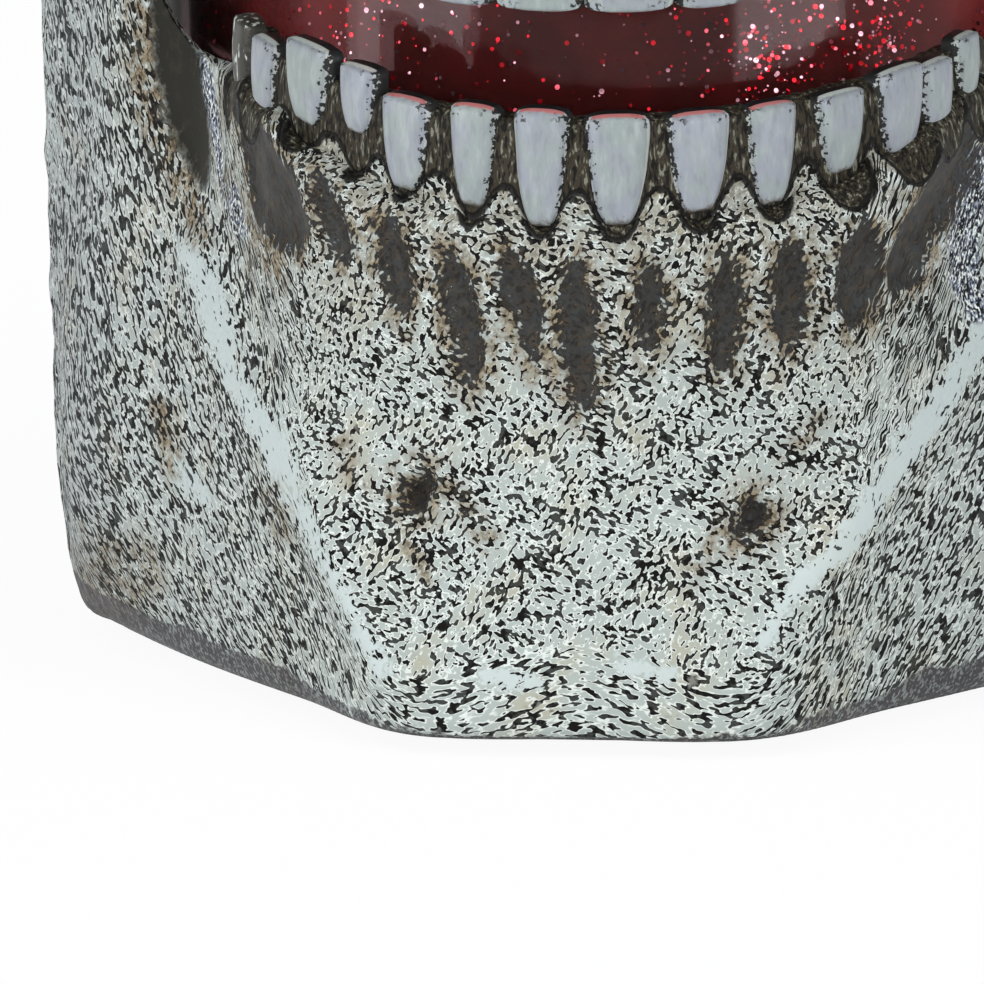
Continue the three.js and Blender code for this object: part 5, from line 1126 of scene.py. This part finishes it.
def buildBar(row, name):
    # rounded in section, swept along the arch
    form = barForm
    way = 1 if row["tip"] > row["gum"] else -1
    low, high = sorted((row["gum"] - way * row["root"], row["tip"] - way * form["underTip"]))
    along, around = form["along"], form["around"]
    turns = np.arange(around) / around * 2 * math.pi
    wide, tall = (np.sign(part) * np.abs(part) ** form["squareness"]
                  for part in (np.cos(turns), np.sin(turns)))
    inset = form["inset"] - form["half"] * wide
    rise = (tall + 1) / 2
    centreY = row["frontY"] + row["reachY"]
    places = []
    for share in np.linspace(-row["endShare"], row["endShare"], along):
        angle = share * math.pi / 2
        x = (row["reachX"] - inset) * math.sin(angle)
        y = centreY - (row["reachY"] - inset) * math.cos(angle)
        z = low + (high - low) * rise
        part = np.clip((z - row["gum"]) / (row["tip"] - row["gum"]), 0, 1)
        places.append(np.column_stack([x, y, z + rowRise(row, y, part)]))
    places = np.concatenate(places)
    bar = meshPiece(name + "_root_bar", places, tubeFaces(along, around, True))
    editAll(bar, faceOutwards)
    streaks = cloud(places * np.array([1, 1, 0.12]), 0.9, 31) * 0.22
    setPlaces(bar, places + normalsOf(bar) * streaks[:, None])
    smoothShade(bar)
    places = placesOf(bar)
    neck = way * (places[:, 2] - row["gum"] - rowRise(row, places[:, 1], 0)) - 1.4
    gap = np.minimum(socketGap(row, places), (2.6 - neck) * 0.8)
    addMarks(bar, {
        **frontBands(places, normalsOf(bar)), "socket": gap, "flow": places, "flowing": 0,
        "stain": 0.55, "rim": 0, "cool": 0, "crowd": 0.8})
    finishPiece(bar, "root", [rootBone])


enamel = enamelFinish()
rootBone = boneFinish("root bone")
crownPattern = crownShape()
for row, name in ((lowerRow, "lower"), (upperRow, "upper")):
    buildCrowns(row, name, name + "_teeth", crownPattern)
    buildBar(row, name)
bpy.data.objects.remove(crownPattern)
print("teeth built")


# Globe, liquid and flakes

globeForm = {
    "centreY": -10, "wall": 2.2, "gap": 0.3, "liquidTop": 206, "segments": 144,
    "outline": [(34, 46.3), (34, 54.6), (46, 54.6), (48.2, 55.3), (49.3, 57.6), (50, 62.6), (50, 122),
                (52.67, 145)],
    "domeZ": 168, "domeRadius": 54, "fullness": 0.8, "neckTop": 56.8, "liquidFoot": 57.4,
    "clear": (0.93, 0.66, 0.68), "edge": (0.04, 0.008, 0.008), "lean": 0.18,
    "liquid": ((0.20, 0.080, 0.072), (0.32, 0.085, 0.080)),
    "flakes": 9000, "flakeSize": 0.25, "flakeTilt": 0.1, "flakeFoot": 58.5, "flakeHead": 3.5,
    "flakeOut": (0.17, 0.12),
    "kinds": {  # colour, metallic, glow and share of the flakes
        "red flakes": ((0.8, 0.02, 0.04), 0.9, 0.08, 0.5),
        "silver flakes": ((0.88, 0.84, 0.95), 1.0, 0.0, 0.32),
        "rose flakes": ((0.95, 0.25, 0.32), 0.9, 0.08, 0.18)},
    # denser spots: turn and rise of the middle, spread of each, and how many flakes
    "swarms": [(0.58, 66, 0.05, 5, 230), (0.33, 64, 0.1, 5, 260), (-0.6, 64, 0.09, 6, 90)],
}


def outlineOf(inset):
    form = globeForm
    line = [(r - inset, z) for r, z in form["outline"]]
    for step in range(0, 25):
        angle = step / 24 * math.pi / 2
        line.append((max((form["domeRadius"] - inset) * math.cos(angle) ** form["fullness"], 0),
                     form["domeZ"] + (form["domeRadius"] - inset) * math.sin(angle)))
    return line


def turned(name, line, segments, centreY):
    # a closed outline, from axis to axis, spun into a solid
    places = [(r, centreY, z) for r, z in line]
    piece = meshPiece(name, places, [])
    piece.data.edges.add(len(line) - 1)
    piece.data.edges.foreach_set("vertices", [v for i in range(len(line) - 1) for v in (i, i + 1)])
    around = {"steps": segments, "angle": 2 * math.pi, "center": (0, centreY * mm, 0), "axis": (0, 0, 1)}
    editAll(piece, lambda: bpy.ops.mesh.spin(**around), mergeDoubles, faceOutwards)
    smoothShade(piece, 40)
    return piece


def glassFinish():
    f = Finish("red tinted glass")
    smear = f.grain(f.place(), 18 * mm, 3, 0.6)
    leaning = f.node("ShaderNodeVectorMath", {"operation": "NORMALIZE"}, {
        0: f.shifted(f.node("ShaderNodeNewGeometry", output=1), (0, 0, globeForm["lean"]))})
    facing = f.node("ShaderNodeLayerWeight", sockets={"Blend": 0.5}, output=1)
    clear = f.node("ShaderNodeBsdfPrincipled", sockets={
        "Base Color": globeForm["clear"], "Roughness": 0.03 + smear * 0.05, "IOR": 1.25,
        "Transmission Weight": 1.0, "Normal": leaning})
    deep = f.node("ShaderNodeBsdfPrincipled", sockets={
        "Base Color": globeForm["edge"], "Roughness": 0.5, "Specular IOR Level": 0.1})
    both = f.node("ShaderNodeMixShader", sockets={0: f.ease(facing, 0.5, 0.78), 1: clear, 2: deep})
    f.node("ShaderNodeOutputMaterial", sockets={"Surface": both})
    return f.material


def liquidFinish():
    f = Finish("dark red liquid")
    swirl = f.grain(f.place(), 16 * mm, 3, 0.55, 0.8)
    colour = f.blend(f.ease(swirl, 0.35, 0.7), *globeForm["liquid"])
    return f.surface({
        "Base Color": colour, "Roughness": 0.14, "IOR": 1.33, "Transmission Weight": 0.1})


def flakeFinish(name, colour, metallic, glow):
    f = Finish(name)
    tone = f.grain(f.place(), 1.1 * mm, 1, 0.5)
    return f.surface({
        "Base Color": f.blend(f.ease(tone, 0.35, 0.65), colour, tuple(0.5 * c for c in colour)),
        "Metallic": metallic, "Roughness": 0.2, "Emission Color": colour, "Emission Strength": glow})


def buildGlobe():
    form = globeForm
    outer, inner = outlineOf(0), outlineOf(form["wall"])
    inner = [(r, max(z, outer[0][1])) for r, z in inner]
    inner[1:3] = [(r, form["neckTop"]) for r, z in inner[1:3]]
    shell = turned("globe_glass", inner[::-1] + outer, form["segments"], form["centreY"])
    finishPiece(shell, "root", [glassFinish()], ["globe"])
    wet = outlineOf(form["wall"] + form["gap"])
    foot, top = form["liquidFoot"], form["liquidTop"]
    line = [(0, foot), (wet[2][0], foot)] + [(r, z) for r, z in wet[3:] if foot + 0.6 < z < top]
    radii, heights = zip(*wet[3:])
    topRadius = np.interp(top, heights, radii)
    line += [(topRadius, top - 0.4), (topRadius - 0.8, top), (0, top)]
    wetBody = turned("red_liquid", line, form["segments"], form["centreY"])
    finishPiece(wetBody, "root", [liquidFinish()], ["glitter_fluid"])

    # flakes: six-sided leaves, close to the wall, thicker low down
    rng = np.random.default_rng(7)
    lowest, (near, far) = form["flakeFoot"], form["flakeOut"]
    for name, (colour, metallic, glow, part) in form["kinds"].items():
        count = int(form["flakes"] * part)
        z = lowest + (top - lowest - form["flakeHead"]) * rng.random(count) ** 1.25
        angle = rng.random(count) * 2 * math.pi
        for turn, rise, wide, tall, more in form["swarms"]:
            angle = np.append(angle, rng.normal(turn, wide, int(more * part)))
            z = np.append(z, np.clip(rng.normal(rise, tall, int(more * part)), lowest, top - 4))
        count = len(z)
        radius = np.interp(z, heights, radii) + near + (far - near) * rng.random(count)
        centre = np.column_stack([radius * np.sin(angle), form["centreY"] - radius * np.cos(angle), z])
        out = np.column_stack([np.sin(angle), -np.cos(angle), np.full(count, form["lean"])])
        normal = out + rng.normal(0, form["flakeTilt"], (count, 3))
        normal /= np.linalg.norm(normal, axis=1)[:, None]
        first = np.cross(normal, [0, 0, 1.0])
        first /= np.linalg.norm(first, axis=1)[:, None]
        second = np.cross(normal, first)
        size = form["flakeSize"] * (0.35 + 0.85 * rng.random(count) ** 2)
        corners = []
        for step in range(6):
            turn = step * math.pi / 3
            corners.append(centre + (first * math.cos(turn) + second * math.sin(turn)) * size[:, None])
        places = np.stack(corners, 1).reshape(-1, 3)
        faces = [tuple(range(i * 6, i * 6 + 6)) for i in range(count)]
        piece = meshPiece(name.replace(" ", "_"), places, faces)
        finishPiece(piece, "root", [flakeFinish(name, colour, metallic, glow)])


buildGlobe()
print("globe built")


# Smaller pieces keep the frame's own solids: each copy is merged, its edges are eased, and it is dressed

def dressed(node, name, material, body="root", edge=0.35, rounds=2, sharp=32):
    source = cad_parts[node]
    piece = bpy.data.objects.new(name, source.data.copy())
    bpy.context.scene.collection.objects.link(piece)
    editAll(piece, mergeDoubles, lambda: bpy.ops.mesh.dissolve_limited(angle_limit=math.radians(1.5)))
    if edge:
        bevel = piece.modifiers.new("eased edges", "BEVEL")
        bevel.width = edge * mm
        bevel.segments = rounds
        bevel.limit_method = "ANGLE"
        bevel.angle_limit = math.radians(sharp)
        bevel.use_clamp_overlap = True
        applyModifiers(piece)
    smoothShade(piece, sharp)
    finishPiece(piece, body, [material], [node])
    return piece


def mouldedFinish(name, colour, worn, texture, roughness, coat=0.0):
    f = Finish(name)
    place = f.place()
    fine = f.grain(place, texture * mm, 2, 0.6)
    wide = f.grain(place, 12 * mm, 3, 0.6)
    scuff = f.ease(f.grain(f.stretched(place, (1, 1, 0.25)), 3 * mm, 4, 0.7), 0.58, 0.72)
    tone = f.blend(f.ease(wide, 0.35, 0.65) * 0.5 + scuff * 0.3, colour, worn)
    return f.surface({
        "Base Color": tone, "Roughness": roughness + (fine - 0.5) * 0.12 + scuff * 0.08,
        "Coat Weight": coat, "Normal": f.bump(fine, 0.06, 0.7)})


def metalFinish(name, colour, dull, roughness, brush=(1, 1, 1)):
    f = Finish(name)
    place = f.place()
    lines = f.grain(f.stretched(place, brush), 0.35 * mm, 3, 0.6)
    spots = f.ease(f.grain(place, 4 * mm, 4, 0.65), 0.5, 0.68)
    return f.surface({
        "Base Color": f.blend(spots * 0.6, colour, dull), "Metallic": 1.0 - spots * 0.25,
        "Roughness": roughness + lines * 0.12 + spots * 0.15, "Normal": f.bump(lines, 0.03, 0.6)})


def boardFinish():
    f = Finish("lamp board lacquer")
    place = f.place()
    x, y, z = f.parts(place)
    reach = ((x * x + (y + 0.01) * (y + 0.01)) ** 0.5) / mm
    tracks = f.most(1 - f.ease(f.size(reach - 18.5), 0.45, 0.6), 1 - f.ease(f.size(reach - 27), 0.5, 0.65))
    tracks = f.most(tracks, 1 - f.ease(f.size(f.size(x) - f.size(y + 0.01)) / mm, 0.5, 0.7))
    speck = f.grain(place, 0.8 * mm, 2, 0.5)
    colour = f.blend(tracks * 0.75, (0.02, 0.13, 0.06), (0.06, 0.27, 0.12))
    colour = f.blend(f.ease(speck, 0.62, 0.68) * 0.4, colour, (0.3, 0.34, 0.3))
    return f.surface({"Base Color": colour, "Roughness": 0.3 + speck * 0.1, "Coat Weight": 0.4,
                      "Normal": f.bump(tracks, 0.05, 0.8)})


def cellFinish():
    f = Finish("battery sleeve")
    place = f.place()
    x, y, z = f.parts(place)
    along = x / mm
    cap = f.most(f.ease(along, 24.2, 24.4), f.ease(-1 * along, 24.2, 24.4))
    band = f.ease(along, 12, 12.2)
    colour = f.blend(band, (0.035, 0.037, 0.042), (0.62, 0.30, 0.07))
    fine = f.grain(place, 0.6 * mm, 2, 0.5)
    colour = f.blend(cap, colour, (0.66, 0.66, 0.68))
    return f.surface({
        "Base Color": colour, "Metallic": cap * 0.9 + band * 0.3, "Roughness": 0.28 + fine * 0.12,
        "Normal": f.bump(fine, 0.02, 0.5)})


def lampFinish():
    f = Finish("lamp lens")
    x, y, z = f.parts(f.place())
    warm = f.ease(z / mm, 38.5, 42.5)
    return f.surface({
        "Base Color": f.blend(warm, (0.8, 0.78, 0.72), (0.95, 0.9, 0.85)), "Roughness": 0.12,
        "Coat Weight": 0.6, "Emission Color": f.blend(warm, (0.2, 0.02, 0.02), (1.0, 0.25, 0.2)),
        "Emission Strength": 1.2, "Normal": f.bump(f.grain(f.place(), 1.2 * mm), 0.03, 0.5)})


housing = mouldedFinish("housing plastic", (0.024, 0.021, 0.02), (0.05, 0.043, 0.038), 0.5, 0.52)
baseplate = mouldedFinish("base plastic", (0.033, 0.026, 0.036), (0.06, 0.05, 0.06), 0.45, 0.55)
rubber = mouldedFinish("soft rubber", (0.012, 0.011, 0.012), (0.03, 0.029, 0.03), 0.8, 0.78)
white = mouldedFinish("off-white plastic", (0.68, 0.66, 0.61), (0.5, 0.47, 0.4), 0.7, 0.36, 0.15)
black = mouldedFinish("black switch plastic", (0.016, 0.016, 0.017), (0.04, 0.04, 0.04), 0.4, 0.4)
steel = metalFinish("zinc plate", (0.62, 0.63, 0.64), (0.4, 0.39, 0.36), 0.26)
brushed = metalFinish("motor can", (0.58, 0.58, 0.6), (0.4, 0.39, 0.38), 0.3, (1, 1, 0.1))
dull = metalFinish("magnet", (0.2, 0.21, 0.22), (0.1, 0.1, 0.1), 0.5)
lacquer, sleeve, lens = boardFinish(), cellFinish(), lampFinish()
wireRed = mouldedFinish("red wire sleeve", (0.42, 0.012, 0.012), (0.3, 0.02, 0.02), 0.6, 0.35)
wireBlack = mouldedFinish("black wire sleeve", (0.015, 0.015, 0.016), (0.03, 0.03, 0.03), 0.6, 0.35)

dressed("neck_housing", "lantern_housing", housing, edge=0.5)
dressed("base_plate", "underside_plate", baseplate, edge=0.5)
dressed("battery_door", "battery_hatch", housing, "battery_door", 0.3)
dressed("globe_cushion", "cushion_ring", rubber)
dressed("globe_stopper", "neck_stopper", white)
dressed("stopper_seal", "seal_ring", rubber)
dressed("impeller_pin", "stirrer_pin", steel, edge=0.12)
dressed("impeller", "stirrer", white, "impeller", 0.2)
dressed("drive_magnet", "drive_magnet_disc", dull, "drive_magnet", 0.25)
dressed("motor", "motor_can", brushed, edge=0.4)
dressed("motor_mount", "motor_cup", white, edge=0.4)
dressed("led_board", "lamp_board", lacquer, edge=0.15)
for number in range(1, 5):
    dressed(f"led_{number}", f"lamp_{number}", lens, edge=0.3)
    dressed(f"foot_{number}", f"rubber_foot_{number}", rubber, edge=0.4)
    for kind in ("shell", "jaw", "housing"):
        dressed(f"{kind}_screw_{number}", f"{kind}_fixing_{number}", steel, edge=0.15)
dressed("door_hinge_pin", "hatch_pin", steel, edge=0.15)
for number in range(1, 4):
    dressed(f"battery_{number}", f"cell_{number}", sleeve, edge=0.3)
for side in ("left", "right"):
    dressed(f"contact_{side}", f"spring_plate_{side}", steel, edge=0.08)
dressed("switch_body", "switch_case", black, edge=0.25)
dressed("switch_knob", "slide_knob", white, "switch_knob", 0.2)
for name, material in (("switch_feed", wireRed), ("board_feed", wireRed), ("board_return", wireBlack)):
    dressed("wire_" + name, name + "_lead", material, edge=0)
print("small pieces dressed")


# Floor, lamps and camera

def aimed(name, data, middle, turn, rise, away):
    # a lamp or camera that looks at the middle
    holder = bpy.data.objects.new(name, data)
    bpy.context.scene.collection.objects.link(holder)
    way = Vector(outTo(turn, rise))
    holder.location = Vector(middle) * mm + way * away
    holder.rotation_euler = way.to_track_quat("Z", "Y").to_euler()
    return holder


def buildFloor():
    f = Finish("pale studio floor")
    grain = f.grain(f.place(), 0.2, 2, 0.5)
    matt = f.node("ShaderNodeBsdfDiffuse", sockets={"Color": f.blend(grain, *studio["floor"])})
    glow = f.node("ShaderNodeEmission", sockets={"Color": (1, 1, 1), "Strength": studio["glow"]})
    looking = f.most(f.ray("Camera"), f.most(f.ray("Glossy"), f.ray("Transmission")))
    both = f.node("ShaderNodeMixShader", sockets={0: looking * studio["glowShare"], 1: matt, 2: glow})
    f.node("ShaderNodeOutputMaterial", sockets={"Surface": both})
    deselectAll()
    bpy.ops.mesh.primitive_circle_add(vertices=96, radius=6, fill_type="NGON", location=(0, 0, 0))
    floor = bpy.context.object
    floor.name = "studio_floor"
    floor.data.materials.append(f.material)


def buildSky():
    world = bpy.data.worlds.new("studio")
    bpy.context.scene.world = world
    f = Finish("studio sky", world)
    soft = f.node("ShaderNodeBackground", sockets={"Color": studio["sky"], "Strength": studio["world"]})
    plain = f.node("ShaderNodeBackground", sockets={"Color": (1, 1, 1), "Strength": 1.0})
    looking = f.most(f.ray("Camera"), f.ray("Transmission"))
    both = f.node("ShaderNodeMixShader", sockets={0: looking, 1: soft, 2: plain})
    f.node("ShaderNodeOutputWorld", sockets={"Surface": both})


def buildLamps():
    for name, lamp in studio["lamps"].items():
        light = bpy.data.lights.new(name, "AREA")
        light.shape = "RECTANGLE"
        light.size, light.size_y = lamp["wide"], lamp["tall"]
        light.energy = lamp["power"]
        light.color = lamp["colour"]
        holder = aimed(name, light, studio["lit"], lamp["turn"], lamp["rise"], lamp["away"])
        holder.visible_camera = False


def buildCamera():
    camera = bpy.data.cameras.new("photo camera")
    camera.sensor_width = 36
    camera.lens = camera.sensor_width * studio["away"] / (studio["frameWidth"] * mm)
    camera.clip_start = 0.05
    bpy.context.scene.camera = aimed("photo camera", camera, studio["target"], **seen, away=studio["away"])
    bpy.context.scene.view_settings.view_transform = "Standard"


studio = {
    "target": (-8.83, -99, 26.9), "frameWidth": 98.4, "away": 4.5, "lit": (0, -30, 100),
    "world": 0.49, "sky": (0.95, 0.98, 1.0), "glow": 1.02, "glowShare": 0.92,
    "floor": ((0.84, 0.84, 0.84), (0.9, 0.9, 0.9)),
    "lamps": {
        "soft box left": {"turn": -55, "rise": 13, "wide": 0.72, "tall": 0.8, "away": 1.2, "power": 6.2,
                          "colour": (0.97, 0.98, 1.0)},
        "soft box right": {"turn": 37, "rise": 13, "wide": 0.56, "tall": 0.8, "away": 1.2, "power": 5.2,
                           "colour": (0.97, 0.98, 1.0)},
        "top light": {"turn": 0, "rise": 78, "wide": 1.0, "tall": 1.0, "away": 1.4, "power": 3.8,
                      "colour": (1.0, 0.99, 0.97)},
    },
}
buildFloor()
buildSky()
buildLamps()
buildCamera()
print("studio set")

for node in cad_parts.values():
    node.select_set(False)
